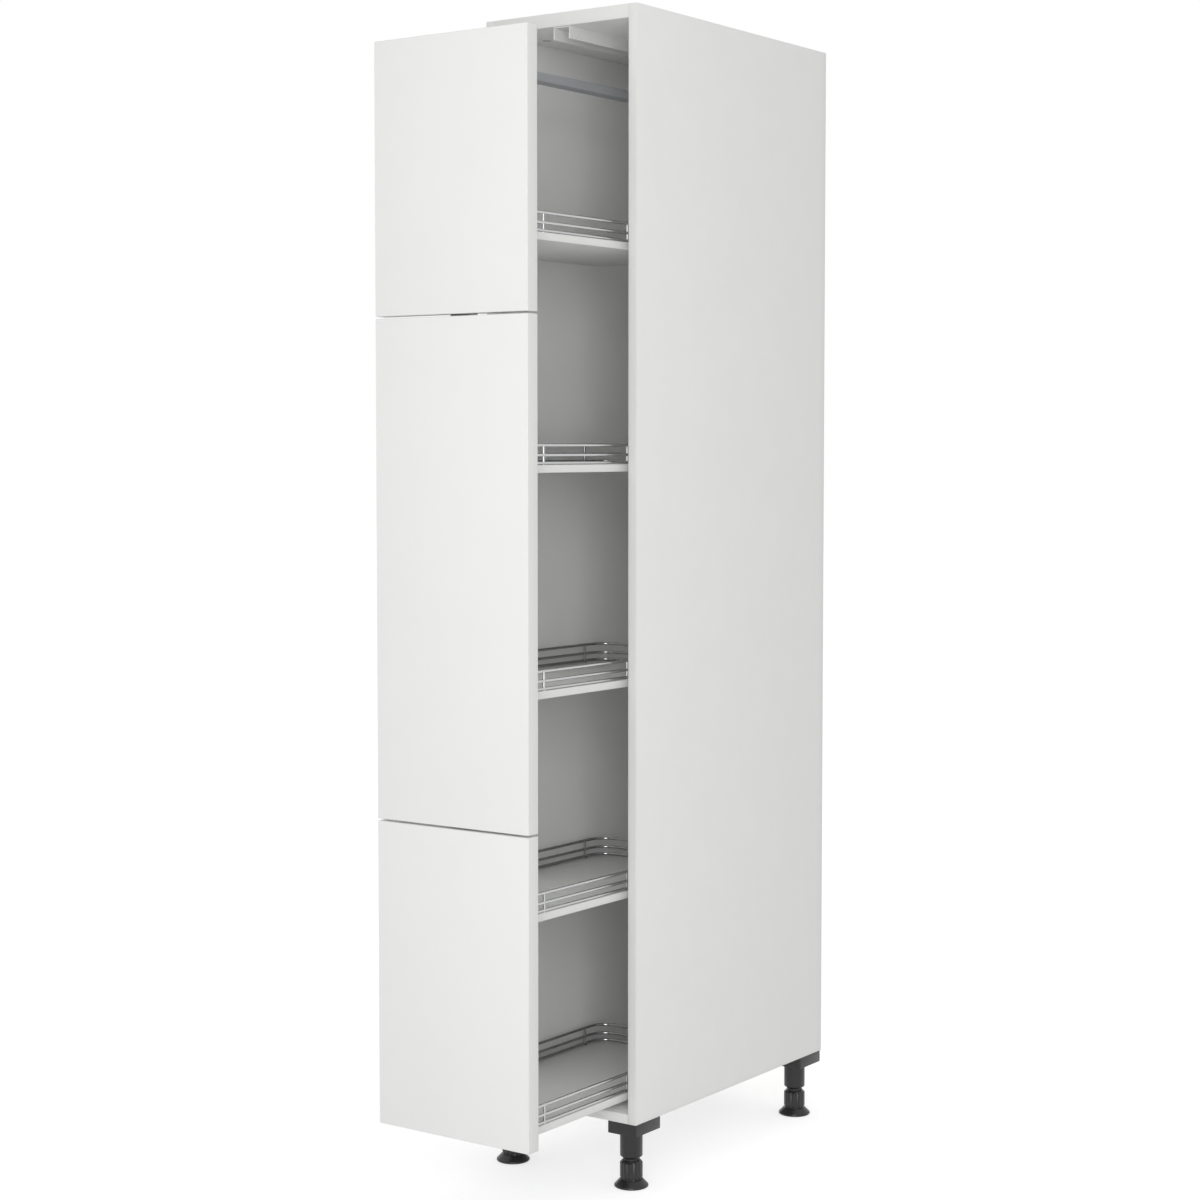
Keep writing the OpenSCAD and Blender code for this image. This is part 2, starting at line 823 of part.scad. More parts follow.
module base_plate() {
    color(FRAME_GREY) on_runner(1) difference() {
        translate([-base_plate_w / 2, frame_front, frame_floor]) linear_extrude(plate_t)
            rounded_rectangle(base_plate_w, frame_end - frame_front, plate_corner_r);
        at_rivets() translate([0, 0, -cut]) cylinder(r = screw_hole_r, h = plate_t + 2 * cut);
        // The heads of the lowest tray's screws sink into these holes.
        at_hanger_screws(0) translate([0, 0, -hanger_t - plate_t - cut])
            cylinder(r = head_clear_r, h = plate_t + 2 * cut);
    }
}

module base_rivets() {
    stack = plate_t + runner_sheet;
    color(CHROME) on_runner(1) at_rivets() {
        translate([0, 0, plate_t]) cylinder(r = rivet_head_r, h = rivet_head_h);
        translate([0, 0, -runner_sheet]) cylinder(r = rivet_r, h = stack);
        translate([0, 0, -runner_sheet - rivet_tail_h]) cylinder(r = rivet_head_r, h = rivet_tail_h);
    }
}

// Slots through the post wall that starts at wall_y. Each is tall enough for a hook to enter,
// and the hook's neck then rests on its lower edge.
module hook_slots(wall_y) {
    for (i = TRAYS, s = SIDES) {
        foot = tray_levels[i] + hanger_rise - hook_neck;
        block(
            [s * hook_x - hook_t / 2 - slot_clear, wall_y - cut, foot],
            [s * hook_x + hook_t / 2 + slot_clear, wall_y + tube_wall + cut, foot + hook_h + slot_clear]
        );
    }
}

// A rectangular tube standing on the base plate; wall is the Y of the wall that the trays hook on.
module post(y, wall) {
    color(FRAME_GREY) on_runner(1) difference() {
        translate([-post_w / 2, y, post_foot])
            linear_extrude(bar_foot - post_foot) tube_section(post_w, post_d);
        hook_slots(wall);
        if (y == frame_front) at_brackets()
            rod_x(screw_hole_r, post_w / 2 - tube_wall - cut, post_w / 2 + cut);
    }
}

// A tube along the top of both posts, with a cap welded over its front end.
module top_bar() {
    color(FRAME_GREY) on_runner(1) translate([-bar_w / 2, frame_end, bar_foot]) rotate([90, 0, 0]) {
        linear_extrude(frame_end - frame_front) tube_section(bar_w, bar_h);
        translate([0, 0, frame_end - frame_front - tube_wall])
            linear_extrude(tube_wall) rounded_rectangle(bar_w, bar_h, tube_r);
    }
}

// ---- Fronts -------------------------------------------------------------------------

// Both sides of the front post, at every bracket, halfway back along the bracket.
module at_brackets() {
    for (f = [0, 1, 2], a = bracket_at, s = SIDES)
        translate([0, frame_front + bracket_d / 2, front_levels[f] + a * front_heights[f]])
            scale([s, 1, 1]) children();
}

module front(f) {
    color(WHITE_FRONT) on_runner(1) difference() {
        translate([-front_w / 2, frame_front - front_t, front_levels[f]])
            linear_extrude(front_heights[f]) rounded_rectangle(front_w, front_t, front_edge_r);
        at_brackets() for (dz = [-bracket_screw_dz, bracket_screw_dz])
            translate([bracket_screw_x, -bracket_d / 2, dz])
                rod_y(screw_hole_r, -screw_in_board - hole_spare, cut);
    }
}

// Angles that join the back of each front to both sides of the front post.
module front_brackets() {
    color(ZINC) on_runner(1) at_brackets() difference() {
        translate([post_w / 2, -bracket_d / 2, -bracket_h / 2])
            linear_extrude(bracket_h) angle_section(bracket_w, bracket_d, bracket_t);
        rod_x(screw_hole_r, post_w / 2 - cut, post_w / 2 + bracket_t + cut);
        for (dz = [-bracket_screw_dz, bracket_screw_dz]) translate([bracket_screw_x, -bracket_d / 2, dz])
            rod_y(screw_hole_r, -cut, bracket_t + cut);
    }
}

module bracket_screws() {
    into_post = bracket_t + tube_wall + past_wall;
    color(ZINC) on_runner(1) at_brackets() {
        translate([post_w / 2 + bracket_t, 0, 0]) rotate([0, -90, 0]) screw(into_post, screw_head_h);
        for (dz = [-bracket_screw_dz, bracket_screw_dz])
            translate([bracket_screw_x, -bracket_d / 2 + bracket_t, dz])
                rotate([90, 0, 0]) screw(bracket_t + screw_in_board, screw_head_h);
    }
}

// ---- Trays --------------------------------------------------------------------------

module tray_board(i) {
    color(WHITE_BOARD) on_runner(1) difference() {
        translate([0, tray_front, tray_levels[i]])
            linear_extrude(tray_board_t) tray_outline(tray_w, tray_l, tray_front_r, tray_rear_r);
        at_hanger_screws(i) translate([0, 0, -cut])
            cylinder(r = screw_hole_r, h = screw_in_tray + hole_spare + cut);
    }
}

// Where the hangers are screwed to a tray, at the underside of its board.
module at_hanger_screws(i) {
    for (s = SIDES, y = [tray_front + hanger_screw_in, tray_end - hanger_screw_in])
        translate([s * hanger_screw_x, y, tray_levels[i]]) children();
}

// One closed wire: four straights and four quarter bends.
module wire_loop(w, l, r_front, r_rear) {
    for (s = SIDES) {
        translate([s * w / 2, 0, 0]) rod_y(wire_r, r_front, l - r_rear);
        scale([s, 1, 1]) {
            translate([w / 2 - r_front, r_front, 0]) rotate([0, 0, -90]) rotate_extrude(angle = 90)
                translate([r_front, 0]) circle(r = wire_r);
            translate([w / 2 - r_rear, l - r_rear, 0]) rotate_extrude(angle = 90)
                translate([r_rear, 0]) circle(r = wire_r);
        }
    }
    rod_x(wire_r, -w / 2 + r_front, w / 2 - r_front);
    translate([0, l, 0]) rod_x(wire_r, -w / 2 + r_rear, w / 2 - r_rear);
}

// The wire rail round a tray: three loops on uprights that stand on the board.
module tray_rail(i) {
    w = tray_w - 2 * wire_inset;
    l = tray_l - 2 * wire_inset;
    r_front = tray_front_r - wire_inset;
    r_rear = tray_rear_r - wire_inset;
    color(CHROME) on_runner(1)
        translate([0, tray_front + wire_inset, tray_levels[i] + tray_board_t]) {
            for (z = wire_levels) translate([0, 0, z]) wire_loop(w, l, r_front, r_rear);
            for (s = SIDES, y = [r_front + upright_in, l / 2, l - r_rear - upright_in])
                translate([s * w / 2, y, 0]) upright();
            for (y = [0, l]) translate([0, y, 0]) upright();
        }
}

module upright() {
    cylinder(r = upright_d / 2, h = wire_levels[2]);
}

// An angle under each end of a tray, with two hooks in the slots of the post.
// It is drawn for the front end, with the post's tray-side face at Y = 0.
module hanger() {
    translate([-hanger_w / 2, 0, -hanger_t]) rotate([90, 0, 90]) linear_extrude(hanger_w)
        angle_section(hanger_reach, hanger_rise + hanger_t, hanger_t);
    for (s = SIDES) {
        inside = -tube_wall - slot_clear;
        block(
            [s * hook_x - hook_t / 2, inside - hook_nose, hanger_rise - hook_neck],
            [s * hook_x + hook_t / 2, 0, hanger_rise]
        );
        block(
            [s * hook_x - hook_t / 2, inside - hook_nose, hanger_rise - hook_h],
            [s * hook_x + hook_t / 2, inside, hanger_rise]
        );
    }
}

module tray_hangers() {
    color(ZINC) on_runner(1) difference() {
        for (i = TRAYS) {
            translate([0, frame_front + post_d, tray_levels[i]]) hanger();
            translate([0, frame_end - post_d, tray_levels[i]]) mirror([0, 1, 0]) hanger();
        }
        for (i = TRAYS) at_hanger_screws(i) translate([0, 0, -hanger_t - cut])
            cylinder(r = screw_hole_r, h = hanger_t + 2 * cut);
    }
}

module tray_screws() {
    color(ZINC) on_runner(1) for (i = TRAYS) at_hanger_screws(i)
        translate([0, 0, -hanger_t]) screw(hanger_t + screw_in_tray, screw_head_h);
}

// ---- Assembly -----------------------------------------------------------------------

function shown(name) = node == "all" || node == name;

if (shown("left_side_panel")) side_panel(-1);
if (shown("right_side_panel")) side_panel(1);
if (shown("top_panel")) top_panel();
if (shown("bottom_panel")) bottom_panel();
if (shown("back_panel")) back_panel();
if (shown("upper_rear_rail")) rear_rail(inner_top - rear_rail_h, true);
if (shown("lower_rear_rail")) rear_rail(board_t, false);
if (shown("cam_locks")) cam_locks();
if (shown("cam_bolts")) cam_bolts();
if (shown("dowels")) dowels();
if (shown("door_buffers")) door_buffers();
if (shown("front_left_foot_flange")) foot_flange(-1, 0);
if (shown("front_right_foot_flange")) foot_flange(1, 0);
if (shown("rear_left_foot_flange")) foot_flange(-1, 1);
if (shown("rear_right_foot_flange")) foot_flange(1, 1);
if (shown("front_left_leg")) foot_leg(-1, 0);
if (shown("front_right_leg")) foot_leg(1, 0);
if (shown("rear_left_leg")) foot_leg(-1, 1);
if (shown("rear_right_leg")) foot_leg(1, 1);
if (shown("front_left_pad")) foot_pad(-1, 0);
if (shown("front_right_pad")) foot_pad(1, 0);
if (shown("rear_left_pad")) foot_pad(-1, 1);
if (shown("rear_right_pad")) foot_pad(1, 1);
if (shown("foot_screws")) foot_screws();
if (shown("left_runner_cabinet_member")) runner_cabinet_member(-1);
if (shown("right_runner_cabinet_member")) runner_cabinet_member(1);
if (shown("left_runner_middle_member")) runner_middle_member(-1);
if (shown("right_runner_middle_member")) runner_middle_member(1);
if (shown("left_runner_inner_member")) runner_inner_member(-1);
if (shown("right_runner_inner_member")) runner_inner_member(1);
if (shown("outer_ball_cages")) ball_cages(0, outer_ball_x);
if (shown("inner_ball_cages")) ball_cages(1, inner_ball_x);
if (shown("runner_screws")) runner_screws();
if (shown("top_guide_channel")) top_guide_channel();
if (shown("base_plate")) base_plate();
if (shown("front_post")) post(post_front_y[0], post_front_y[0] + post_d - tube_wall);
if (shown("rear_post")) post(post_front_y[1], post_front_y[1]);
if (shown("top_bar")) top_bar();
if (shown("guide_carriage")) guide_carriage();
if (shown("guide_axles")) guide_axles();
if (shown("front_guide_roller")) guide_roller(1);
if (shown("rear_guide_roller")) guide_roller(0);
if (shown("bottom_front")) front(0);
if (shown("middle_front")) front(1);
if (shown("top_front")) front(2);
if (shown("front_brackets")) front_brackets();
if (shown("bracket_screws")) bracket_screws();
if (shown("tray_1_board")) tray_board(0);
if (shown("tray_2_board")) tray_board(1);
if (shown("tray_3_board")) tray_board(2);
if (shown("tray_4_board")) tray_board(3);
if (shown("tray_5_board")) tray_board(4);
if (shown("tray_1_rail")) tray_rail(0);
if (shown("tray_2_rail")) tray_rail(1);
if (shown("tray_3_rail")) tray_rail(2);
if (shown("tray_4_rail")) tray_rail(3);
if (shown("tray_5_rail")) tray_rail(4);
if (shown("tray_hangers")) tray_hangers();
if (shown("tray_screws")) tray_screws();
if (shown("base_rivets")) base_rivets();
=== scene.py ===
# %% [markdown]
# # A pull-out larder unit
# A tall, narrow kitchen cabinet on levelling feet. Its three fronts hang on a steel frame that
# rolls out on ball-bearing runners and carries five trays with wire rails. What it adds is
# what a camera sees: rounded edges, edge banding, bent wire, moulded plastic and the finish of
# each surface.

import json
import math

import bmesh
import bpy
from mathutils import Matrix, Vector


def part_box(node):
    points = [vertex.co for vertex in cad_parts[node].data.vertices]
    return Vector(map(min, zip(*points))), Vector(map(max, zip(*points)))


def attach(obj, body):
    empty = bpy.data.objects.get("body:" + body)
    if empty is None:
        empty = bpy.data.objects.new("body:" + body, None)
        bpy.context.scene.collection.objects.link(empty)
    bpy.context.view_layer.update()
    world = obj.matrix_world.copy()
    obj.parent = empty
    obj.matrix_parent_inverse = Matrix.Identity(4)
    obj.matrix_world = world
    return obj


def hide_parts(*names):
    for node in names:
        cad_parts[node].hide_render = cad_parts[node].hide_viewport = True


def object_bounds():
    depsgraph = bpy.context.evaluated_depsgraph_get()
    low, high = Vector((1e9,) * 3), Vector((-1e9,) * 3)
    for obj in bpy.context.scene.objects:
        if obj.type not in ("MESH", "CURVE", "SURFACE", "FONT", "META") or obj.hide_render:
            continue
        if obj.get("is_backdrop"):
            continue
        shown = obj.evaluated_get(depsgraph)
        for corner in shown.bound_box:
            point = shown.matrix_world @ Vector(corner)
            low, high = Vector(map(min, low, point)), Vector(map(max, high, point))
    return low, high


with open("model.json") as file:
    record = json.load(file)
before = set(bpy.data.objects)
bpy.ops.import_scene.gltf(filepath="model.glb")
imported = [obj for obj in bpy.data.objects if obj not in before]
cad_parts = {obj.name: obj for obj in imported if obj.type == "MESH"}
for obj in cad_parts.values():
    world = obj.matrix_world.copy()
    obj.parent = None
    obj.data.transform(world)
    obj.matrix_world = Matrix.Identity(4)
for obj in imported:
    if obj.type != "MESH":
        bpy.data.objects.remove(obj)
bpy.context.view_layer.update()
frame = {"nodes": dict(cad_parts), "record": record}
MM = 0.001
bodies = frame["record"]["behaviour"]["bodies"]
body_of = {node: body for body, nodes in bodies.items() for node in nodes}
slot_of = {part["node"]: part["material_slot"] for part in frame["record"]["subparts"]}

# %% [markdown]
# ## The camera
# The drawing is a perspective view, so a camera was fitted to its straight edges: the corners
# of the carcass, of the fronts and of the feet. The fit gives where the camera stands, how far
# it turns and how long its lens is. The drawing keeps the cabinet's uprights parallel, which a
# level camera with a strongly shifted lens would do. Every other view keeps that shift, though,
# and would then crop the object. So this camera looks down by three degrees with a small shift,
# and its uprights lean by a few pixels.

# %% Place the camera
CAMERA_AT = Vector((2.2765, -3.238, 1.2003))
LOOKS_DOWN = math.radians(3.134)
TURNS = math.radians(35.47)
LENS_MM = 70.95
LENS_SHIFT = -0.02

camera_data = bpy.data.cameras.new("camera")
camera_data.lens = LENS_MM
camera_data.shift_y = LENS_SHIFT
camera = bpy.data.objects.new("camera", camera_data)
camera.location = CAMERA_AT
camera.rotation_euler = (math.pi / 2 - LOOKS_DOWN, 0, TURNS)
bpy.context.scene.collection.objects.link(camera)
bpy.context.scene.camera = camera
print("The camera stands", round(CAMERA_AT.length, 2), "m from the foot of the unit")

# %% [markdown]
# ## Colours and nodes
# Colours are written the way a paint card or a picture editor gives them, as sRGB hex values,
# and a renderer works in linear light. One function turns the one into the other. A second
# function adds a shader node with its settings and its links in one line, which keeps each
# material short enough to read.

# %% Read a colour
def colour(code):
    """A linear RGBA colour from a hex code such as F2F2EF. The numbers are those of sRGB."""
    parts = [int(code[i:i + 2], 16) / 255 for i in (0, 2, 4)]
    linear = [c / 12.92 if c <= 0.04045 else ((c + 0.055) / 1.055) ** 2.4 for c in parts]
    return (*linear, 1)


print("Mid grey in linear light:", round(colour("808080")[0], 3))

# %% Add a shader node
def add_node(tree, kind, settings=None, sockets=None):
    """One node. A socket is given a plain value, or the output of another node to link to."""
    node = tree.nodes.new(kind)
    for name, value in (settings or {}).items():
        setattr(node, name, value)
    for name, value in (sockets or {}).items():
        if isinstance(value, bpy.types.NodeSocket):
            tree.links.new(value, node.inputs[name])
        else:
            node.inputs[name].default_value = value
    return node


def grain(size_mm):
    """The scale at which a noise or cell pattern has marks of this size on the object."""
    return 1 / (size_mm * MM)


print("Marks of 2 mm need a pattern scale of", round(grain(2)))

# %% [markdown]
# ## A finish in layers
# Nearly every finish here is the same recipe with other numbers: a colour that drifts a
# little, a surface that is a little more or less glossy from place to place, and a fine relief.
# Each could have nodes of its own, but then a change to one would have to be made to all. The
# recipe reads Object coordinates, so its scale is in real millimetres and it stays put when a
# piece slides.

# %% Mix one finish
MIX_FACTOR, MIX_A, MIX_B, MIX_RESULT = 0, 6, 7, 2
DRIFT_DETAIL, RELIEF_DETAIL = 3.0, 2.0


def finish(name, light, dark, drift_mm, rough, vary, relief_mm, depth_mm,
           stretch=(1, 1, 1), shader=None):
    """A material: two near colours, a roughness that varies, and a relief of a given grain.
    A stretch under 1 draws the marks out along an axis, as rolling and scraping do."""
    material = bpy.data.materials.new(name)
    material.use_nodes = True
    tree = material.node_tree
    tree.nodes.clear()
    places = add_node(tree, "ShaderNodeTexCoord").outputs["Object"]
    places = add_node(tree, "ShaderNodeMapping", {},
                      {"Vector": places, "Scale": stretch}).outputs[0]
    drift = add_node(tree, "ShaderNodeTexNoise", {},
                     {"Vector": places, "Scale": grain(drift_mm),
                      "Detail": DRIFT_DETAIL}).outputs["Fac"]
    tint = add_node(tree, "ShaderNodeMix", {"data_type": "RGBA"},
                    {MIX_FACTOR: drift, MIX_A: colour(dark),
                     MIX_B: colour(light)}).outputs[MIX_RESULT]
    gloss = add_node(tree, "ShaderNodeMapRange", {},
                     {"Value": drift, "To Min": rough - vary,
                      "To Max": rough + vary}).outputs[0]
    pits = add_node(tree, "ShaderNodeTexNoise", {},
                    {"Vector": places, "Scale": grain(relief_mm),
                     "Detail": RELIEF_DETAIL}).outputs["Fac"]
    relief = add_node(tree, "ShaderNodeBump", {},
                      {"Height": pits, "Distance": depth_mm * MM, "Strength": 1.0}).outputs[0]
    sockets = {"Base Color": tint, "Roughness": gloss, "Normal": relief}
    sockets.update(shader or {})
    surface = add_node(tree, "ShaderNodeBsdfPrincipled", {}, sockets).outputs[0]
    add_node(tree, "ShaderNodeOutputMaterial", {}, {"Surface": surface})
    return material


print("A finish sets colour, roughness and relief")

# %% [markdown]
# ## White boards
# Carcass, fronts and trays are all white, and still they don't look alike, because each surface
# was pressed, scraped or coated in its own way. One white for all would lose that. So each has
# its own gloss and grain, and the colours stay close together.

# %% Mix the whites
# Paper soaked in resin, pressed on the board by a textured plate: a dull sheen with a fine
# grain. The real grain is about 0.3 mm, too fine to show, so it is drawn at 1.4 mm.
melamine = finish("white melamine, fine matt press texture", "F2F2F1", "EEEEED", drift_mm=60,
                  rough=0.42, vary=0.04, relief_mm=1.4, depth_mm=0.02)
# A thicker sheet of the same kind, pressed smooth: a broad, brighter highlight that bends a
# little over slow waves of 4 mm.
laminate = finish("white satin laminate", "F3F3F2", "F0F0EF", drift_mm=90,
                  rough=0.30, vary=0.03, relief_mm=4, depth_mm=0.012)
# Solid plastic strip, trimmed and scraped: shinier than the board, with faint marks that run up
# the tall edges. Real ones are fine as hair, and are drawn 1.5 mm wide.
edging = finish("white ABS edge banding, scraped", "ECECEA", "E6E6E4", drift_mm=30,
                rough=0.34, vary=0.05, relief_mm=1.5, depth_mm=0.02,
                stretch=(1, 1, 0.1))
# Pressed fibre under a thin roller coat: warmer and duller, with fibres that just show.
hardboard = finish("white-faced hardboard", "ECEBE6", "E5E4DF", drift_mm=25,
                   rough=0.5, vary=0.05, relief_mm=1.2, depth_mm=0.03)
# A rubbery foil that keeps jars in place: the flattest white, with hardly any highlight. Its
# dots of 0.4 mm are drawn at 1 mm.
tray_top = finish("white non-slip tray board", "E9E9E7", "E3E3E1", drift_mm=50,
                  rough=0.55, vary=0.05, relief_mm=1.0, depth_mm=0.03)
print("Each white is made of", len(melamine.node_tree.nodes), "nodes")

# %% [markdown]
# ## Sawn chipboard
# Where a saw has cut a board, its core shows: wood chips pressed in resin, with dust between
# them. A photograph of chips would need a file, and would repeat. A cell pattern gives each chip
# a tint of its own and a noise gives the dust, and the two fill space like a solid block, so
# they fit every edge that is cut from it.

# %% Press the chips
CHIP_LONG, CHIP_FINE = 3.2, 0.8
CHIP_SHARE, DUST_SHARE = 0.65, 0.35


def chip_tint(tree):
    """The tint of pressed chips, with dust between them."""
    places = add_node(tree, "ShaderNodeTexCoord").outputs["Object"]
    flake = add_node(tree, "ShaderNodeTexVoronoi", {"feature": "F1"},
                     {"Vector": places, "Scale": grain(CHIP_LONG)}).outputs["Color"]
    flake = add_node(tree, "ShaderNodeSeparateColor", {}, {0: flake}).outputs[0]
    dust = add_node(tree, "ShaderNodeTexNoise", {},
                    {"Vector": places, "Scale": grain(CHIP_FINE),
                     "Detail": RELIEF_DETAIL}).outputs["Fac"]
    dust = add_node(tree, "ShaderNodeMath", {"operation": "MULTIPLY"},
                    {0: dust, 1: DUST_SHARE}).outputs[0]
    mixed = add_node(tree, "ShaderNodeMath", {"operation": "MULTIPLY_ADD"},
                     {0: flake, 1: CHIP_SHARE, 2: dust}).outputs[0]
    return add_node(tree, "ShaderNodeMix", {"data_type": "RGBA"},
                    {MIX_FACTOR: mixed, MIX_A: colour("A58A63"),
                     MIX_B: colour("DCCAA8")}).outputs[MIX_RESULT]


# Sawn and left raw: no shine at all, a speckled warm brown with small pits. Real chips are 1 to
# 2 mm across, and are drawn at 3.2 mm so that a 16 mm edge still shows them. Their tint then
# takes the place of the two colours.
chipboard = finish("raw chipboard edge", "CDB48A", "B49A70", drift_mm=2.2,
                   rough=0.85, vary=0.05, relief_mm=1.6, depth_mm=0.25)
tree = chipboard.node_tree
shader = next(n for n in tree.nodes if n.type == "BSDF_PRINCIPLED")
tree.links.new(chip_tint(tree), shader.inputs["Base Color"])
print("Chips are", CHIP_LONG, "mm across")

# %% [markdown]
# ## Metals
# Plated, cast, turned or ground: what made a steel part shows in how sharply it mirrors the
# room. Glossy grey paint would be the quick way, but a metal tints what it mirrors and has no
# colour of its own beneath. So Metallic is 1 throughout, the colour is the tint of the
# reflection, the roughness is its sharpness, and the stretch is the way that the tool ran.

# %% Mix the metals
METAL = {"Metallic": 1.0}
# Drawn wire with a plated skin: a hard mirror, with dark and light lines that run along it.
chrome = finish("chrome-plated steel wire", "C4C5C5", "BCBDBE", drift_mm=12,
                rough=0.09, vary=0.03, relief_mm=3, depth_mm=0.004, shader=METAL)
# Pressed from plated strip: cool, soft and bright, with faint marks along the way it was
# rolled. Real ones are fine as hair, and are drawn 1.2 mm wide.
zinc = finish("zinc-plated pressed steel", "B9BDC1", "A6ABB0", drift_mm=9,
              rough=0.34, vary=0.08, relief_mm=1.2, depth_mm=0.01,
              stretch=(1, 0.15, 1), shader=METAL)
# Cast in a polished mould: dull silver, with patches where the metal cooled first.
die_cast = finish("bright die-cast zinc", "B2B4B6", "A0A3A6", drift_mm=5,
                  rough=0.42, vary=0.06, relief_mm=0.9, depth_mm=0.02, shader=METAL)
# Cut on a lathe: bright, with level rings round an upright axle, a tenth of a millimetre apart.
turned_steel = finish("turned bright steel", "BDBFC2", "ADB0B4", drift_mm=4,
                      rough=0.2, vary=0.05, relief_mm=0.6, depth_mm=0.006,
                      stretch=(1, 1, 6), shader=METAL)
# Ground and polished: the sharpest mirror here, and no marks to see.
ball_steel = finish("polished bearing steel", "C2C4C8", "B8BABF", drift_mm=4,
                    rough=0.07, vary=0.02, relief_mm=2, depth_mm=0.002, shader=METAL)
print("The metals:", [m.name for m in (chrome, zinc, die_cast, turned_steel, ball_steel)])

# %% [markdown]
# ## Coats, plastics and wood
# The frame is powder coated, the feet are moulded, the rollers are cut from a nylon bar, and the
# dowels are turned from beech. Nylon and rubber also let a little light in, which a subsurface
# shader would show, but on pieces of a few millimetres it would only cost time.

# %% Mix coats, plastics and wood
# Powder baked on steel: an even satin with the soft dimples of orange peel, at their real size.
powder_coat = finish("light grey powder coat", "A9ABAE", "A2A4A8", drift_mm=20,
                     rough=0.5, vary=0.04, relief_mm=1.1, depth_mm=0.05)
# The same coat in white, a little smoother.
white_coat = finish("white powder coat", "EFEFED", "E9E9E7", drift_mm=20,
                    rough=0.45, vary=0.04, relief_mm=1.1, depth_mm=0.04)
# Moulded in a spark-roughened mould: nearly black, with a soft highlight that lets flutes and
# ribs be read. The mould's grain of 0.1 mm is drawn at 0.9 mm.
black_plastic = finish("black moulded polypropylene", "1E1E20", "161618", drift_mm=14,
                       rough=0.3, vary=0.05, relief_mm=0.9, depth_mm=0.02)
# Cut from a bar: a milky white with a waxy shine.
nylon = finish("white turned nylon", "E4E3DD", "DAD9D2", drift_mm=8,
               rough=0.4, vary=0.05, relief_mm=1, depth_mm=0.01)
# Cast soft plastic: it looks a little wet, and greyer than the front that it sticks to.
buffer_gel = finish("milky buffer rubber", "E2E2DD", "D6D6D0", drift_mm=6,
                    rough=0.25, vary=0.05, relief_mm=2, depth_mm=0.01)
# Turned from a stick: warm and dull, with grain along the dowel, which lies along X. Real pores
# are 0.1 mm wide, and are drawn at 1 mm.
beech = finish("turned beech", "CDA873", "B48A58", drift_mm=3,
               rough=0.6, vary=0.05, relief_mm=1.0, depth_mm=0.05, stretch=(0.1, 1, 1))
print(len(bpy.data.materials), "finishes so far")

# %% [markdown]
# ## From slot to finish
# The record gives each CAD node a material slot. Finishes could be given to the nodes one by
# one, but a table from slot to finish can't miss a node: a slot that it lacks stops the script.

# %% Give every CAD node its finish
slot_finish = {
    "white_melamine_board": melamine, "white_lacquered_front": laminate, "tray_board": tray_top,
    "chrome_plated_wire": chrome, "zinc_plated_steel": zinc, "die_cast_zinc": die_cast,
    "bright_steel": turned_steel, "steel_balls": ball_steel, "grey_powder_coat": powder_coat,
    "white_powder_coat": white_coat, "black_plastic": black_plastic, "white_nylon": nylon,
    "clear_buffer": buffer_gel, "beech": beech,
}
for name, node in frame["nodes"].items():
    node.data.materials.clear()
    node.data.materials.append(slot_finish[slot_of[name]])
print(len(frame["nodes"]), "CAD nodes have a finish")

# %% [markdown]
# ## How a piece is made
# Each new piece starts as a bmesh, a mesh that lives in memory and that operators cut, bevel,
# spin and extrude. Modifiers could do much of this too, but they are worked out anew each time,
# and here the sizes are known from the start. When it is done it becomes an object at the
# origin, rides on the body that carries it, and stands for the plain CAD node that it dresses.

# %% Turn a mesh into a piece
SHARP_ANGLE = math.radians(38)


def new_piece(name, mesh, node, finishes, own_slot=None):
    """Makes the object, shades it smooth apart from its sharp edges, and parents it to the body
    that carries a CAD node. It stands for that node, which is hidden. A piece given own_slot is an
    addition, and the node goes on showing."""
    data = bpy.data.meshes.new(name)
    mesh.to_mesh(data)
    mesh.free()
    for material in finishes:
        data.materials.append(material)
    data.shade_smooth()
    data.set_sharp_from_angle(angle=SHARP_ANGLE)
    piece = bpy.data.objects.new(name, data)
    bpy.context.scene.collection.objects.link(piece)
    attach(piece, body_of[node])
    if not own_slot:
        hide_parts(node)
    print(f"{name}: {len(data.polygons)} faces")


print("Edges over", round(math.degrees(SHARP_ANGLE)), "degrees stay sharp")

# %% Start from a block
HAIR = 1e-7        # metres: points closer than this are one
SOFT_STEPS = 2


def block(low, high, mesh=None):
    """A block from one corner to the other, in a new mesh or added to one."""
    mesh = mesh or bmesh.new()
    made = bmesh.ops.create_cube(mesh, size=1)["verts"]
    bmesh.ops.scale(mesh, vec=Vector(high) - Vector(low), verts=made)
    bmesh.ops.translate(mesh, vec=(Vector(low) + Vector(high)) / 2, verts=made)
    return mesh


def round_edges(mesh, radius, segments, edges=None):
    """Rounds the given edges, or every edge where two faces meet at a clear angle."""
    if edges is None:
        edges = [e for e in mesh.edges if e.calc_face_angle(0) > SHARP_ANGLE]
    bmesh.ops.bevel(mesh, geom=edges, offset=radius, offset_type="OFFSET", affect="EDGES",
                    segments=segments, profile=0.5, material=-1)


def cut_across(mesh, axis, place):
    """Cuts the whole mesh along a plane, so that a seam runs round it."""
    point, normal = Vector(), Vector()
    point[axis], normal[axis] = place, 1
    everything = mesh.verts[:] + mesh.edges[:] + mesh.faces[:]
    bmesh.ops.bisect_plane(mesh, geom=everything, plane_co=point, plane_no=normal, dist=HAIR)


trial = block((0, 0, 0), (1, 1, 1))
round_edges(trial, 0.1, SOFT_STEPS)
print("A block with rounded edges has", len(trial.faces), "faces")
trial.free()

# %% [markdown]
# ## Boards
# The carcass is melamine-faced chipboard. A sheet is sawn to size, which bares the brown
# chips, and then a strip of ABS plastic is glued on each edge that will show and trimmed
# flush. Core, faces and strips could be pieces of their own, but their joints would show as
# gaps or specks. So a board here is one block with softened edges. Planes mark off the last
# millimetre at each banded edge, and each face then gets its finish from where it lies: plastic
# on the bands, melamine on the two wide sides, and raw chips on what the banding machine never
# saw.

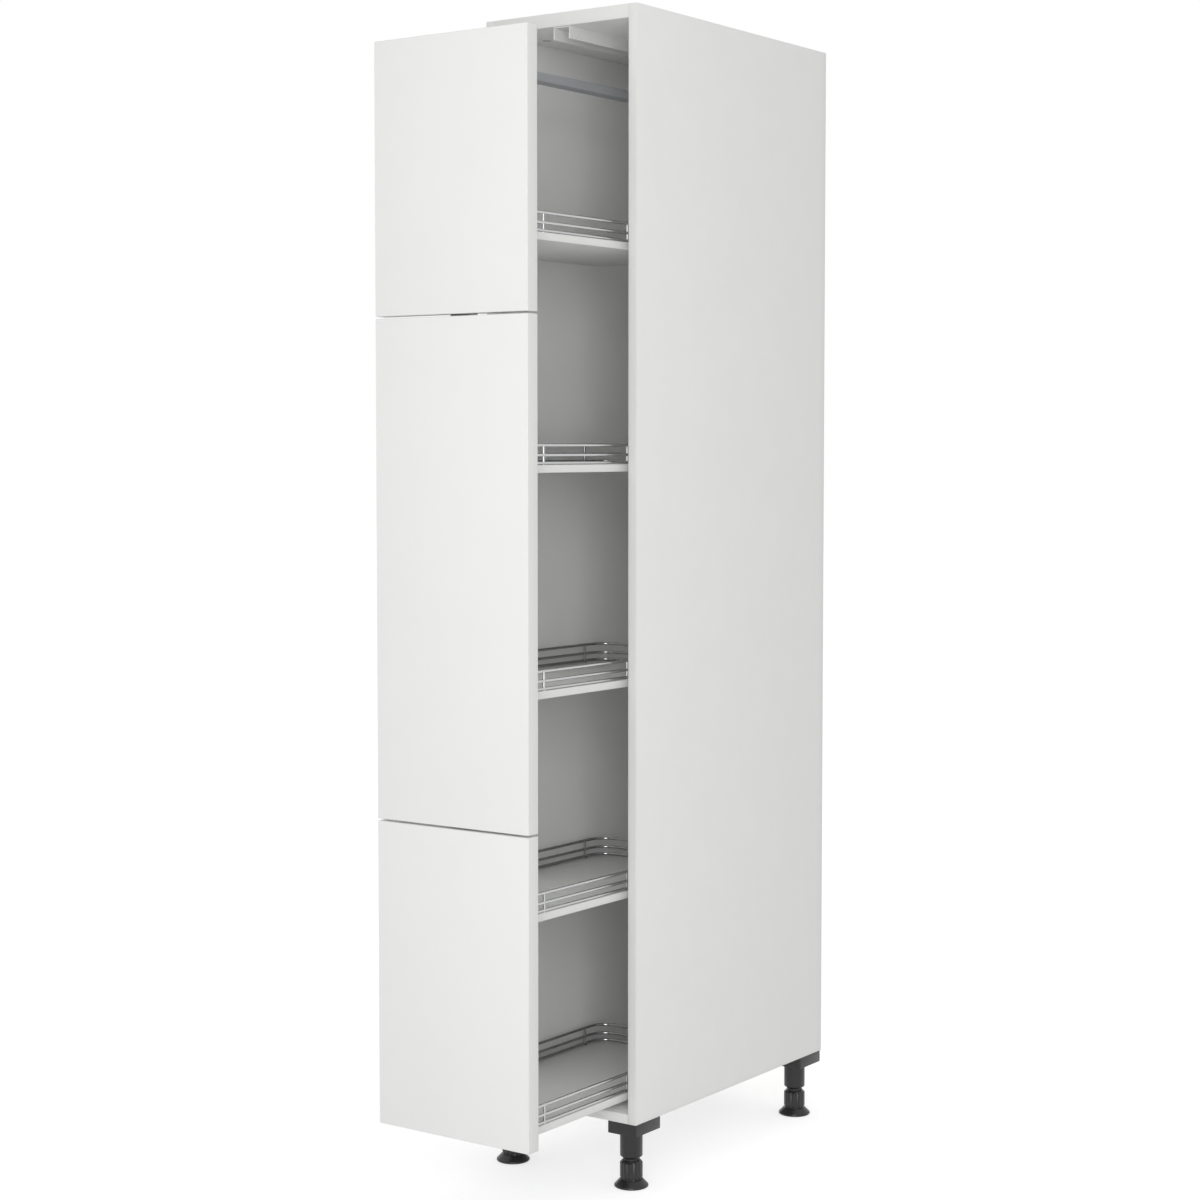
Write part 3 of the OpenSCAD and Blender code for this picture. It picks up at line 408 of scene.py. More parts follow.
# %% Face, band or raw edge
MELAMINE_FACE, BAND, RAW_EDGE = 0, 1, 2
BAND_T = 1 * MM
BOARD_EDGE_R = 1.0 * MM
MOSTLY = 0.5       # a face looks mostly along an axis from this share of its normal


def banded_board(low, high, thin, bands):
    """A board that is thin along one axis. bands lists its banded edges, as an axis and a side."""
    mesh = block(low, high)
    round_edges(mesh, BOARD_EDGE_R, SOFT_STEPS)
    seams = [(axis, side, (high if side > 0 else low)[axis] - side * BAND_T)
             for axis, side in bands]
    for axis, side, place in seams:
        cut_across(mesh, axis, place)
    for face in mesh.faces:
        middle = face.calc_center_median()
        if any((middle[axis] - place) * side > 0 for axis, side, place in seams):
            face.material_index = BAND
        elif abs(face.normal[thin]) > MOSTLY:
            face.material_index = MELAMINE_FACE
        else:
            face.material_index = RAW_EDGE
    return mesh


print("Edge bands are", BAND_T / MM, "mm thick")

# %% Saw the groove for the back panel
GROOVE_SPARE = 0.5 * MM
GROOVE_CLEAR = 0.2 * MM
SQUARELY = 0.9     # and squarely along it from this share
X, Y, Z = 0, 1, 2
back_low, back_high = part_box("back_panel")
groove_low = back_low - Vector((GROOVE_SPARE, GROOVE_CLEAR, GROOVE_SPARE))
groove_high = back_high + Vector((GROOVE_SPARE, GROOVE_CLEAR, GROOVE_SPARE))


def saw_groove(mesh, thin, side, low, high):
    """Sinks the back panel's groove into the board's face that looks along thin, towards side."""
    across = [axis for axis in (X, Y, Z) if axis != thin]
    for axis in across:
        for place in (groove_low[axis], groove_high[axis]):
            if low[axis] < place < high[axis]:
                cut_across(mesh, axis, place)
    face_place = (high if side > 0 else low)[thin]
    floor_place = (groove_low if side > 0 else groove_high)[thin]
    floor = [f for f in mesh.faces if f.normal[thin] * side > SQUARELY and all(
        groove_low[a] < f.calc_center_median()[a] < groove_high[a] for a in across)]
    walls = bmesh.ops.inset_individual(mesh, faces=floor, thickness=0,
                                       depth=-abs(face_place - floor_place))["faces"]
    for face in floor + walls:
        face.material_index = RAW_EDGE


print("The groove is", round((groove_high.y - groove_low.y) / MM, 1), "mm wide")

# %% Cut the carcass boards
FRONT_EDGE, UPPER_EDGE, LOWER_EDGE = (Y, -1), (Z, 1), (Z, -1)
BOARD_FINISHES = (melamine, edging, chipboard)
for node, thin, inward, bands in (
    ("left_side_panel", X, 1, (FRONT_EDGE, UPPER_EDGE, LOWER_EDGE)),
    ("right_side_panel", X, -1, (FRONT_EDGE, UPPER_EDGE, LOWER_EDGE)),
    ("top_panel", Z, -1, (FRONT_EDGE,)),
    ("bottom_panel", Z, 1, (FRONT_EDGE,)),
):
    low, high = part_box(node)
    mesh = banded_board(low, high, thin, bands)
    saw_groove(mesh, thin, inward, low, high)
    new_piece(node.replace("panel", "board"), mesh, node, BOARD_FINISHES)

# %% [markdown]
# ## Rear rails
# Two plain strips of the same board tie the sides together behind the back panel, and the
# upper one has the holes for the wall screws. The CAD nodes have the right shape, so they stay
# and need no new piece. Their material reads which way a face looks: the wide sides look along
# Y and are melamine, and every other face is a sawn edge that shows chips.

# %% Chips on the sawn edges
WIDE_SIDE = 0.5
sawn_board = melamine.copy()
sawn_board.name = "melamine board with sawn edges"
tree = sawn_board.node_tree
looks = add_node(tree, "ShaderNodeTexCoord").outputs["Normal"]
looks = add_node(tree, "ShaderNodeSeparateXYZ", {}, {0: looks}).outputs["Y"]
faced = add_node(tree, "ShaderNodeMath", {"operation": "MULTIPLY"},
                 {0: looks, 1: looks}).outputs[0]
faced = add_node(tree, "ShaderNodeMath", {"operation": "GREATER_THAN"},
                 {0: faced, 1: WIDE_SIDE}).outputs[0]
shader = next(n for n in tree.nodes if n.type == "BSDF_PRINCIPLED")
face_tint = shader.inputs["Base Color"].links[0].from_socket
both = add_node(tree, "ShaderNodeMix", {"data_type": "RGBA"},
                {MIX_FACTOR: faced, MIX_A: chip_tint(tree), MIX_B: face_tint}).outputs[MIX_RESULT]
tree.links.new(both, shader.inputs["Base Color"])
for node in ("upper_rear_rail", "lower_rear_rail"):
    frame["nodes"][node].data.materials[0] = sawn_board
frame["nodes"]["back_panel"].data.materials[0] = hardboard
print("Both rear rails show sawn edges")

# %% [markdown]
# ## Fronts
# The three fronts are thick slabs without handles. Laminate covers the two wide sides, and an
# ABS edge goes all the way round and is milled to a small radius. A plain block would look
# sharp as paper. The rounded edges catch a thin line of light, and that line is what tells one
# white front from the next.

# %% Press the fronts
FRONT_EDGE_R = 1.5 * MM
FRONT_EDGE_STEPS = 4
for node in ("bottom_front", "middle_front", "top_front"):
    low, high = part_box(node)
    mesh = block(low, high)
    round_edges(mesh, FRONT_EDGE_R, FRONT_EDGE_STEPS)
    for axis in (X, Z):
        cut_across(mesh, axis, low[axis] + BAND_T)
        cut_across(mesh, axis, high[axis] - BAND_T)
    for face in mesh.faces:
        middle = face.calc_center_median()
        face.material_index = int(any(
            min(middle[a] - low[a], high[a] - middle[a]) < BAND_T for a in (X, Z)))
    new_piece(node.replace("front", "slab"), mesh, node, (laminate, edging))

# %% [markdown]
# ## Tray boards
# A tray board is cut with a tighter radius at its front corners than at its rear ones. Its
# outline could be drawn with arcs and extruded. Two bevels on the four upright edges of a block
# give the same outline without any arithmetic, and a third bevel softens the rim.

# %% Cut the tray boards
TRAY_FRONT_R = 20 * MM
TRAY_REAR_R = 38 * MM
TRAY_RIM_R = 1 * MM
FRONT_STEPS, REAR_STEPS = 10, 16
TRAYS = range(1, 6)


def upright_edges(mesh, place_y):
    """The upright edges of a block at one end."""
    return [e for e in mesh.edges if all(abs(v.co.y - place_y) < MM for v in e.verts)
            and abs(e.verts[0].co.z - e.verts[1].co.z) > MM]


for number in TRAYS:
    node = f"tray_{number}_board"
    low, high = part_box(node)
    mesh = block(low, high)
    round_edges(mesh, TRAY_FRONT_R, FRONT_STEPS, upright_edges(mesh, low.y))
    round_edges(mesh, TRAY_REAR_R, REAR_STEPS, upright_edges(mesh, high.y))
    round_edges(mesh, TRAY_RIM_R, SOFT_STEPS)
    for face in mesh.faces:
        face.material_index = int(abs(face.normal.z) < SQUARELY)
    new_piece(f"tray_{number}_shelf", mesh, node, (tray_top, edging))

# %% [markdown]
# ## Wire rails
# A rail is made on a wire bender: a straight, a quarter bend, the next straight, and so on
# until the ends meet and are butt-welded. A curve with a round bevel would give such a wire
# too, but the bender's own steps work on a mesh: a ring of points is extruded along each
# straight and spun round each bend. Three such loops are then welded to short uprights, which
# leaves a small bead at each crossing.

# %% Bend a wire
WIRE_R = 2.5 * MM
WIRE_SIDES = 14
BEND_STEPS = 9


def push(mesh, ring, along):
    """Extrudes a ring of edges along a straight and gives the ring at its end."""
    made = bmesh.ops.extrude_edge_only(mesh, edges=ring)["geom"]
    verts = {g for g in made if isinstance(g, bmesh.types.BMVert)}
    bmesh.ops.translate(mesh, vec=along, verts=list(verts))
    return [g for g in made if isinstance(g, bmesh.types.BMEdge) and set(g.verts) <= verts]


def quarter_bend(mesh, ring, centre):
    """Spins a ring of edges a quarter turn to the left and gives the ring at its end."""
    made = bmesh.ops.spin(mesh, geom=ring, cent=centre, axis=(0, 0, 1), angle=math.pi / 2,
                          steps=BEND_STEPS)["geom_last"]
    return [g for g in made if isinstance(g, bmesh.types.BMEdge)]


print("The wire is", 2 * WIRE_R / MM, "mm thick")

# %% Close a loop of wire
def wire_loop(mesh, low, high, front_r, rear_r):
    """A closed wire round a level rectangle, from the middle of its front and back again."""
    middle = Matrix.Translation(((low.x + high.x) / 2, low.y, low.z))
    start = middle @ Matrix.Rotation(math.pi / 2, 4, "Y")
    circle = bmesh.ops.create_circle(mesh, segments=WIRE_SIDES, radius=WIRE_R, matrix=start)
    ring = list({e for v in circle["verts"] for e in v.link_edges})
    half = (high.x - low.x) / 2
    side = (high.y - rear_r) - (low.y + front_r)
    for straight, centre in (
        ((half - front_r, 0, 0), (high.x - front_r, low.y + front_r, low.z)),
        ((0, side, 0), (high.x - rear_r, high.y - rear_r, low.z)),
        ((-2 * (half - rear_r), 0, 0), (low.x + rear_r, high.y - rear_r, low.z)),
        ((0, -side, 0), (low.x + front_r, low.y + front_r, low.z)),
    ):
        ring = quarter_bend(mesh, push(mesh, ring, straight), centre)
    push(mesh, ring, (half - front_r, 0, 0))


trial = bmesh.new()
wire_loop(trial, Vector((0, 0, 0)), Vector((1, 2, 0)), TRAY_FRONT_R, TRAY_REAR_R)
print("One loop of wire has", len(trial.faces), "faces")
trial.free()

# %% [markdown]
# ## Turned forms
# Uprights, screws, feet, rollers and buffers are all round, as if from a lathe. Stacked
# cylinders would meet in hidden inner faces. Spinning one profile round an axis gives a single
# closed skin, with the points that fall on the axis merged into one.

# %% Turn a form on a lathe
def turned(mesh, profile, at, steps=24, matrix=None, closed=False):
    """Spins a profile of (radius, height) points round a vertical axis through a point.
    matrix then lays the form along another direction."""
    at = Vector(at)
    verts = [mesh.verts.new(at + Vector((r, 0, z))) for r, z in profile]
    pairs = list(zip(verts, verts[1:])) + ([(verts[-1], verts[0])] if closed else [])
    edges = [mesh.edges.new(pair) for pair in pairs]
    before = set(mesh.verts) - set(verts)
    bmesh.ops.spin(mesh, geom=verts + edges, cent=at, axis=(0, 0, 1), angle=2 * math.pi,
                   steps=steps, use_merge=True)
    made = [v for v in mesh.verts if v not in before]
    bmesh.ops.remove_doubles(mesh, verts=made, dist=HAIR)
    made = [v for v in mesh.verts if v not in before]
    bmesh.ops.recalc_face_normals(mesh, faces=list({f for v in made for f in v.link_faces}))
    if matrix:
        bmesh.ops.transform(mesh, matrix=matrix, verts=made)
    return made


trial = bmesh.new()
made = turned(trial, [(0, 0), (1, 0), (1, 1), (0, 1)], (0, 0, 0))
print("A turned disc has", len(made), "points")
trial.free()

# %% Stand an upright on the board
UPRIGHT_R = 2 * MM
UPRIGHT_FOOT_R = 4.5 * MM
UPRIGHT_FOOT_H = 0.8 * MM
UPRIGHT_TAPER_H = 2.4 * MM
UPRIGHT_STEPS = 12


def upright(mesh, x, y, foot, top):
    """A short post with a small pressed foot, up to the middle of the top wire."""
    turned(mesh, [(0, 0), (UPRIGHT_FOOT_R, 0), (UPRIGHT_FOOT_R, UPRIGHT_FOOT_H / 2),
                  (UPRIGHT_R, UPRIGHT_TAPER_H), (UPRIGHT_R, top - foot), (0, top - foot)],
           (x, y, foot), UPRIGHT_STEPS)


print("An upright is", 2 * UPRIGHT_R / MM, "mm thick")

# %% Weld the rails
BEAD_R = 3.0 * MM
BEAD_AROUND, BEAD_RINGS = 8, 6
WIRE_INSET = 4 * MM
WIRE_PITCH = 15 * MM
LOWEST_WIRE = 2.8 * MM
UPRIGHT_IN = 14 * MM
SAME_POINT = 1e-6  # metres: ends of wire that meet are welded within this
for number in TRAYS:
    board_low, board_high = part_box(f"tray_{number}_board")
    wire_low = board_low + Vector((WIRE_INSET, WIRE_INSET, 0))
    wire_high = board_high - Vector((WIRE_INSET, WIRE_INSET, 0))
    foot = board_high.z
    levels = [foot + LOWEST_WIRE, foot + WIRE_PITCH, foot + 2 * WIRE_PITCH]
    front_r, rear_r = TRAY_FRONT_R - WIRE_INSET, TRAY_REAR_R - WIRE_INSET
    mesh = bmesh.new()
    for level in levels:
        wire_low.z = wire_high.z = level
        wire_loop(mesh, wire_low, wire_high, front_r, rear_r)
    bmesh.ops.remove_doubles(mesh, verts=mesh.verts, dist=SAME_POINT)
    bmesh.ops.recalc_face_normals(mesh, faces=mesh.faces)
    length = wire_high.y - wire_low.y
    places = [(x, wire_low.y + y) for x in (wire_low.x, wire_high.x)
              for y in (front_r + UPRIGHT_IN, length / 2, length - rear_r - UPRIGHT_IN)]
    places += [(0, wire_low.y), (0, wire_high.y)]
    for x, y in places:
        upright(mesh, x, y, foot, levels[-1])
        for level in levels[1:]:
            bmesh.ops.create_uvsphere(mesh, u_segments=BEAD_AROUND, v_segments=BEAD_RINGS,
                                      radius=BEAD_R, matrix=Matrix.Translation((x, y, level)))
    new_piece(f"tray_{number}_wires", mesh, f"tray_{number}_rail", (chrome,))

# %% [markdown]
# ## Screws
# Every screw of the CAD model is a plain stepped cylinder. Its place, length and direction are
# read from it, and a screw with a domed head and a cross recess is put there. The head is
# turned. The recess could be cut out with a Boolean, which leaves long thin faces. Instead
# twelve points of a circle are moved to the corners of a cross, bridged to the head and pushed
# down.

# %% Find the separate solids of a node
def solids_of(node):
    """The corner points of each separate solid in a CAD node."""
    mesh = bmesh.new()
    mesh.from_mesh(frame["nodes"][node].data)
    bmesh.ops.remove_doubles(mesh, verts=mesh.verts, dist=SAME_POINT)
    left, solids = set(mesh.verts), []
    while left:
        reached, edge_of_search = set(), [left.pop()]
        while edge_of_search:
            vert = edge_of_search.pop()
            reached.add(vert)
            near = {e.other_vert(vert) for e in vert.link_edges} & left
            left -= near
            edge_of_search += near
        solids.append([v.co.copy() for v in reached])
    mesh.free()
    return solids


def corners(points):
    """The lowest and highest corner of some points."""
    return tuple(Vector(pick(p[a] for p in points) for a in (X, Y, Z)) for pick in (min, max))


print("The runners hang on", len(solids_of("runner_screws")), "screws")

# %% Draw the cross
RECESS_REACH = 0.5
RECESS_HALF_WIDTH = 0.13
RECESS_DEPTH = 0.5
CROSS_POINTS = 12
FIRST_POINT = math.radians(15)
ARM_FROM = 0.8


def cross_ring(mesh, head_r, level):
    """A ring of points on the outline of a cross."""
    turn = Matrix.Translation((0, 0, level)) @ Matrix.Rotation(FIRST_POINT, 4, "Z")
    ring = bmesh.ops.create_circle(mesh, segments=CROSS_POINTS, radius=1, matrix=turn)["verts"]
    half, reach = RECESS_HALF_WIDTH * head_r, RECESS_REACH * head_r
    for vert in ring:
        x, y = vert.co.x, vert.co.y
        along_x, along_y = abs(x) > ARM_FROM, abs(y) > ARM_FROM
        vert.co.x = math.copysign(reach if along_x else half, x)
        vert.co.y = math.copysign(reach if along_y else half, y)
    return list({e for v in ring for e in v.link_edges})


print("The cross reaches over", RECESS_REACH, "of the head's radius")

# %% Form a cross-head screw
HEAD_SHARES = (1, 0), (1, 0.3), (0.9, 0.7), (0.66, 1)
SHANK_R = 1.9 * MM


def screw_form(head_r, head_h, length):
    """A screw that stands on its tip, with the underside of its head at the origin."""
    mesh = bmesh.new()
    turned(mesh, [(0, -length), (SHANK_R, -length + SHANK_R), (SHANK_R, 0)]
           + [(r * head_r, h * head_h) for r, h in HEAD_SHARES], (0, 0, 0))
    rim = [e for e in mesh.edges if len(e.link_faces) == 1]
    cross = cross_ring(mesh, head_r, head_h)
    bmesh.ops.bridge_loops(mesh, edges=rim + cross)
    bottom = push(mesh, cross, (0, 0, -RECESS_DEPTH * head_h))
    bmesh.ops.contextual_create(mesh, geom=bottom)
    bmesh.ops.recalc_face_normals(mesh, faces=mesh.faces)
    data = bpy.data.meshes.new("screw form")
    mesh.to_mesh(data)
    mesh.free()
    return data


def place_form(mesh, form, matrix):
    """Adds a copy of a finished form to a mesh."""
    known = len(mesh.verts)
    mesh.from_mesh(form)
    mesh.verts.ensure_lookup_table()
    bmesh.ops.transform(mesh, matrix=matrix, verts=mesh.verts[known:])


print("A shank is", 2 * SHANK_R / MM, "mm thick")

# %% Measure a screw
HEAD_FROM_R = 2.6 * MM


def measure_screw(points):
    """(where the head's underside is, which way the head looks, head radius and height, length)"""
    low, high = corners(points)
    size, middle = high - low, (low + high) / 2
    axis = max((X, Y, Z), key=lambda a: size[a])
    across = [a for a in (X, Y, Z) if a != axis]
    head = [p for p in points if math.hypot(*(p[a] - middle[a] for a in across)) > HEAD_FROM_R]
    head_low, head_high = corners(head)
    side = 1 if head_high[axis] > middle[axis] else -1
    underside = middle.copy()
    underside[axis] = (head_low if side > 0 else head_high)[axis]
    looks = Vector()
    looks[axis] = side
    head_h = head_high[axis] - head_low[axis]
    return underside, looks, size[across[0]] / 2, head_h, size[axis] - head_h


longest = max(measure_screw(points)[-1] for points in solids_of("foot_screws"))
print("A foot screw is", round(longest / MM, 1), "mm long under its head")

# %% Drive the screws
screw_forms = {}
for node in ("foot_screws", "runner_screws", "bracket_screws", "tray_screws"):
    mesh = bmesh.new()
    for points in solids_of(node):
        at, looks, head_r, head_h, length = measure_screw(points)
        key = tuple(round(v / MM, 2) for v in (head_r, head_h, length))
        if key not in screw_forms:
            screw_forms[key] = screw_form(head_r, head_h, length)
        turn = looks.to_track_quat("Z", "Y").to_matrix().to_4x4()
        place_form(mesh, screw_forms[key], Matrix.Translation(at) @ turn)
    new_piece(node.replace("screws", "cross_head_screws"), mesh, node, (zinc,))

# %% [markdown]
# ## Levelling feet
# A foot has three mouldings. A flange is screwed under the bottom panel, a leg plugs into it,
# and a pad screws into the leg. They could be one piece, but the pad moves by itself. A leg is
# a tube that is open below, with a rounded lip and a spigot on its roof. It is turned, since a
# Solidify modifier would give the roof and the lip the same wall as the tube.

# %% Turn the legs
SOFT = 1 * MM
LEG_WALL = 4.2 * MM
LEG_EDGE = 2 * MM
LEG_ROOF = 6 * MM
SPIGOT_R = 12 * MM
SPIGOT_H = 12 * MM
LEG_STEPS = 64
FEET = ("front_left", "front_right", "rear_left", "rear_right")
for foot in FEET:
    low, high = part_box(f"{foot}_leg")
    axis_at = (low + high) / 2
    axis_at.z = 0
    r, top = (high.x - low.x) / 2, high.z - SPIGOT_H
    bore = r - LEG_WALL
    lip = [(r - LEG_EDGE * (1 - math.cos(a)), low.z + LEG_EDGE * (1 - math.sin(a)))
           for a in (math.pi / 2, math.pi / 3, math.pi / 6, 0)]
    profile = [(0, top - LEG_ROOF), (bore, top - LEG_ROOF), (bore, low.z)] + lip + [
        (r, top - SOFT), (r - SOFT, top), (SPIGOT_R, top), (SPIGOT_R, high.z), (0, high.z)]
    mesh = bmesh.new()
    turned(mesh, profile, axis_at, LEG_STEPS)
    new_piece(f"{foot}_tube", mesh, f"{foot}_leg", (black_plastic,))

# %% [markdown]
# ## Pads
# A pad has a round base, a neck, a collar with flutes for the hand, and a stem with a coarse
# thread. The thread could be a stack of rings, but from close by a real one climbs. So a tooth
# of four points is spun round the stem and rises as it goes. The flutes could be cut by twelve
# rods. Here the collar's own points are drawn in along a wave, which leaves no cuts to mend.

# %% Press the flutes
COLLAR_CHAMFER = 3 * MM
FLUTES = 12
FLUTE_DEPTH = 0.9 * MM
leg_low, leg_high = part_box("front_left_leg")
collar_r = (leg_high.x - leg_low.x) / 2


def press_flutes(verts, axis_at, foot, top):
    """Draws the collar's wall in along twelve soft flutes."""
    for vert in verts:
        out = Vector((vert.co.x - axis_at.x, vert.co.y - axis_at.y, 0))
        if out.length > collar_r - COLLAR_CHAMFER and foot < vert.co.z < top:
            wave = math.cos(FLUTES * math.atan2(out.y, out.x) + math.pi)
            vert.co -= out.normalized() * FLUTE_DEPTH * max(0, wave)


print("The collar is", round(2 * collar_r / MM), "mm across")

# %% Cut the thread
THREAD_CORE_R = 12.7 * MM
THREAD_PITCH = 4 * MM
THREAD_STEPS = 24
THREAD_CLEAR = 0.3 * MM
TOOTH_SUNK = 0.2 * MM
TOOTH_HEIGHTS = 0, 0.35, 0.5, 0.85
thread_r = collar_r - LEG_WALL - THREAD_CLEAR


def cut_thread(mesh, axis_at, foot, top):
    """A ridge that climbs round the stem from foot to top, closed at both ends."""
    turns = int((top - foot) / THREAD_PITCH) - 1
    sunk_r = THREAD_CORE_R - TOOTH_SUNK
    tooth = [mesh.verts.new(Vector((axis_at.x + r, axis_at.y, foot + share * THREAD_PITCH)))
             for r, share in zip((sunk_r, thread_r, thread_r, sunk_r), TOOTH_HEIGHTS)]
    edges = [mesh.edges.new(pair) for pair in zip(tooth, tooth[1:] + tooth[:1])]
    mesh.faces.new(tooth)
    made = bmesh.ops.spin(mesh, geom=tooth + edges, cent=axis_at, axis=(0, 0, 1),
                          angle=2 * math.pi * turns, steps=THREAD_STEPS * turns,
                          dvec=(0, 0, THREAD_PITCH / THREAD_STEPS))["geom_last"]
    mesh.faces.new([g for g in made if isinstance(g, bmesh.types.BMVert)])


print("The thread is", round(2 * thread_r / MM, 1), "mm across")

# %% Turn the pads
PAD_RIM = 4 * MM
PAD_EDGE = 1.5 * MM
PAD_RIM_IN = 0.6 * MM
PAD_H = 12 * MM
SKIRT_OUT, SKIRT_DROP = 3 * MM, 2 * MM
NECK_IN, NECK_H = 2 * MM, 3 * MM
COLLAR_H = 28 * MM
PAD_STEPS = 96
collar_foot = PAD_H + NECK_H
collar_top = collar_foot + COLLAR_H
throat = collar_r - NECK_IN
for foot in FEET:
    low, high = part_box(f"{foot}_pad")
    axis_at = (low + high) / 2
    axis_at.z = 0
    r = (high.x - low.x) / 2
    mesh = bmesh.new()
    made = turned(mesh, [
        (0, 0), (r - PAD_EDGE, 0), (r, PAD_EDGE), (r, PAD_RIM - SOFT),
        (r - PAD_RIM_IN, PAD_RIM), (collar_r + SKIRT_OUT, PAD_H - SKIRT_DROP),
        (collar_r + SOFT, PAD_H), (throat, PAD_H), (throat, collar_foot),
        (collar_r - SOFT, collar_foot), (collar_r, collar_foot + SOFT),
        (collar_r, collar_top - COLLAR_CHAMFER), (collar_r - COLLAR_CHAMFER, collar_top),
        (THREAD_CORE_R, collar_top), (THREAD_CORE_R, high.z - SOFT),
        (THREAD_CORE_R - SOFT, high.z), (0, high.z)], axis_at, PAD_STEPS)
    press_flutes(made, axis_at, collar_foot - SOFT / 2, collar_top - SOFT / 2)
    cut_thread(mesh, axis_at, collar_top, high.z)
    bmesh.ops.recalc_face_normals(mesh, faces=mesh.faces)
    new_piece(f"{foot}_screw_foot", mesh, f"{foot}_pad", (black_plastic,))

# %% [markdown]
# ## Flanges
# A flange is a shallow plate with a rim, two crossed ribs and a round boss that holds the leg.
# It is moulded hollow to save plastic. A solid block would do from the side, but from below it
# would look cast. So the underside is inset and pushed up, and ribs and boss stand in it.

# %% Mould the flanges
FLANGE_WALL = 2.5 * MM
FLANGE_TOP_T = 4 * MM
FLANGE_CORNER_R, FLANGE_STEPS = 3 * MM, 4
FLANGE_EDGE_R = 0.8 * MM
RIB_T = 2 * MM
RIB_UP = 2 * MM
BOSS_STEPS = 48
for foot in FEET:
    low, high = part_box(f"{foot}_foot_flange")
    leg_low, leg_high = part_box(f"{foot}_leg")
    axis_at = (leg_low + leg_high) / 2
    mesh = block(low, high)
    uprights = [e for e in mesh.edges if abs(e.verts[0].co.z - e.verts[1].co.z) > MM]
    round_edges(mesh, FLANGE_CORNER_R, FLANGE_STEPS, uprights)
    underside = [f for f in mesh.faces if f.normal.z < -SQUARELY]
    bmesh.ops.inset_region(mesh, faces=underside, thickness=FLANGE_WALL)
    bmesh.ops.inset_individual(mesh, faces=underside, thickness=0,
                               depth=-(high.z - low.z - FLANGE_TOP_T))
    round_edges(mesh, FLANGE_EDGE_R, SOFT_STEPS, [
        e for e in mesh.edges if e.calc_face_angle(0) > SHARP_ANGLE
        and all(abs(v.co.z - low.z) < SAME_POINT for v in e.verts)])
    inside_low = low + Vector((FLANGE_WALL, FLANGE_WALL, RIB_UP))
    inside_high = high - Vector((FLANGE_WALL, FLANGE_WALL, FLANGE_TOP_T))
    for axis in (X, Y):
        rib_low, rib_high = inside_low.copy(), inside_high.copy()
        rib_low[axis], rib_high[axis] = axis_at[axis] - RIB_T / 2, axis_at[axis] + RIB_T / 2
        block(rib_low, rib_high, mesh)
    boss_r = (leg_high.x - leg_low.x) / 2
    height = inside_high.z - low.z
    turned(mesh, [(SPIGOT_R, 0), (boss_r - SOFT, 0), (boss_r, SOFT), (boss_r, height),
                  (SPIGOT_R, height)], (axis_at.x, axis_at.y, low.z), BOSS_STEPS, closed=True)
    new_piece(f"{foot}_flange", mesh, f"{foot}_foot_flange", (black_plastic,))

# %% [markdown]
# ## Guide rollers
# Two nylon rollers on upright axles keep the top of the frame between the walls of the guide
# channel. A roller has a bore, slightly hollow faces and softened rims. A cylinder with a hole
# would need all of these cut in later, while one closed profile that is spun holds them all.
# The upper half of the profile is the lower half, mirrored.

# %% Turn the rollers
AXLE_BORE_R = 2.58 * MM
ROLLER_RIM = 1 * MM
ROLLER_RELIEF = 0.6 * MM
ROLLER_STEPS = 48
HUB, HOLLOW_FROM, HOLLOW_TO, TREAD = 0.45, 0.5, 0.85, 0.88
for node in ("front_guide_roller", "rear_guide_roller"):
    low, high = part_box(node)
    axis_at, r, height = (low + high) / 2, (high.x - low.x) / 2, high.z - low.z
    half = [(AXLE_BORE_R, 0), (HUB * r, 0), (HOLLOW_FROM * r, ROLLER_RELIEF),
            (HOLLOW_TO * r, ROLLER_RELIEF), (TREAD * r, 0), (r - ROLLER_RIM, 0), (r, ROLLER_RIM)]
    mesh = bmesh.new()
    turned(mesh, half + [(out, height - up) for out, up in reversed(half)],
           (axis_at.x, axis_at.y, low.z), ROLLER_STEPS, closed=True)
    new_piece(node.replace("guide_roller", "nylon_roller"), mesh, node, (nylon,))

# %% [markdown]
# ## Bearing balls
# Each race of the runners holds a strip of pressed steel with a row of polished balls in its
# pockets. The CAD rows give the length and the place of each strip. Every ball could be a piece
# of its own, but a row moves as one, so strips and balls that travel together are one piece.

# %% Fill the ball cages
BALL_R = 2 * MM
BALL_AROUND, BALL_RINGS = 14, 9
BALLS_IN_ROW = 12
STRIP_T = 1 * MM
for node in ("outer_ball_cages", "inner_ball_cages"):
    mesh = bmesh.new()
    for points in solids_of(node):
        low, high = corners(points)
        middle = (low + high) / 2
        half = Vector((STRIP_T / 2, (high.y - low.y) / 2, BALL_R))
        block(middle - half, middle + half, mesh)
        pitch = (high.y - low.y) / BALLS_IN_ROW
        for k in range(BALLS_IN_ROW):
            at = Matrix.Translation((middle.x, low.y + (k + 0.5) * pitch, middle.z))
            bmesh.ops.create_uvsphere(mesh, u_segments=BALL_AROUND, v_segments=BALL_RINGS,
                                      radius=BALL_R, matrix=at)
    new_piece(node.replace("ball_cages", "ball_rows"), mesh, node, (ball_steel,))

# %% [markdown]
# ## Buffers
# Soft domes on the backs of the fronts let them close on the sides without a knock. Half a
# squashed sphere would come close, but a real one has a short straight wall below its dome. So
# a profile in shares of its radius and height is turned, and then laid over to face the cabinet.

# %% Stick on the buffers
DOME_SHARES = (0, 1), (0.35, 0.97), (0.7, 0.8), (0.92, 0.45), (1, 0.1), (1, 0), (0, 0)
mesh = bmesh.new()
for points in solids_of("door_buffers"):
    low, high = corners(points)
    r, height = (high.x - low.x) / 2, high.y - low.y
    dome = [(out * r, up * height) for out, up in DOME_SHARES]
    middle = (low + high) / 2
    lay = Matrix.Translation((middle.x, low.y, middle.z)) @ Matrix.Rotation(-math.pi / 2, 4, "X")
    turned(mesh, dome, (0, 0, 0), matrix=lay)
new_piece("buffer_domes", mesh, "door_buffers", (buffer_gel,))

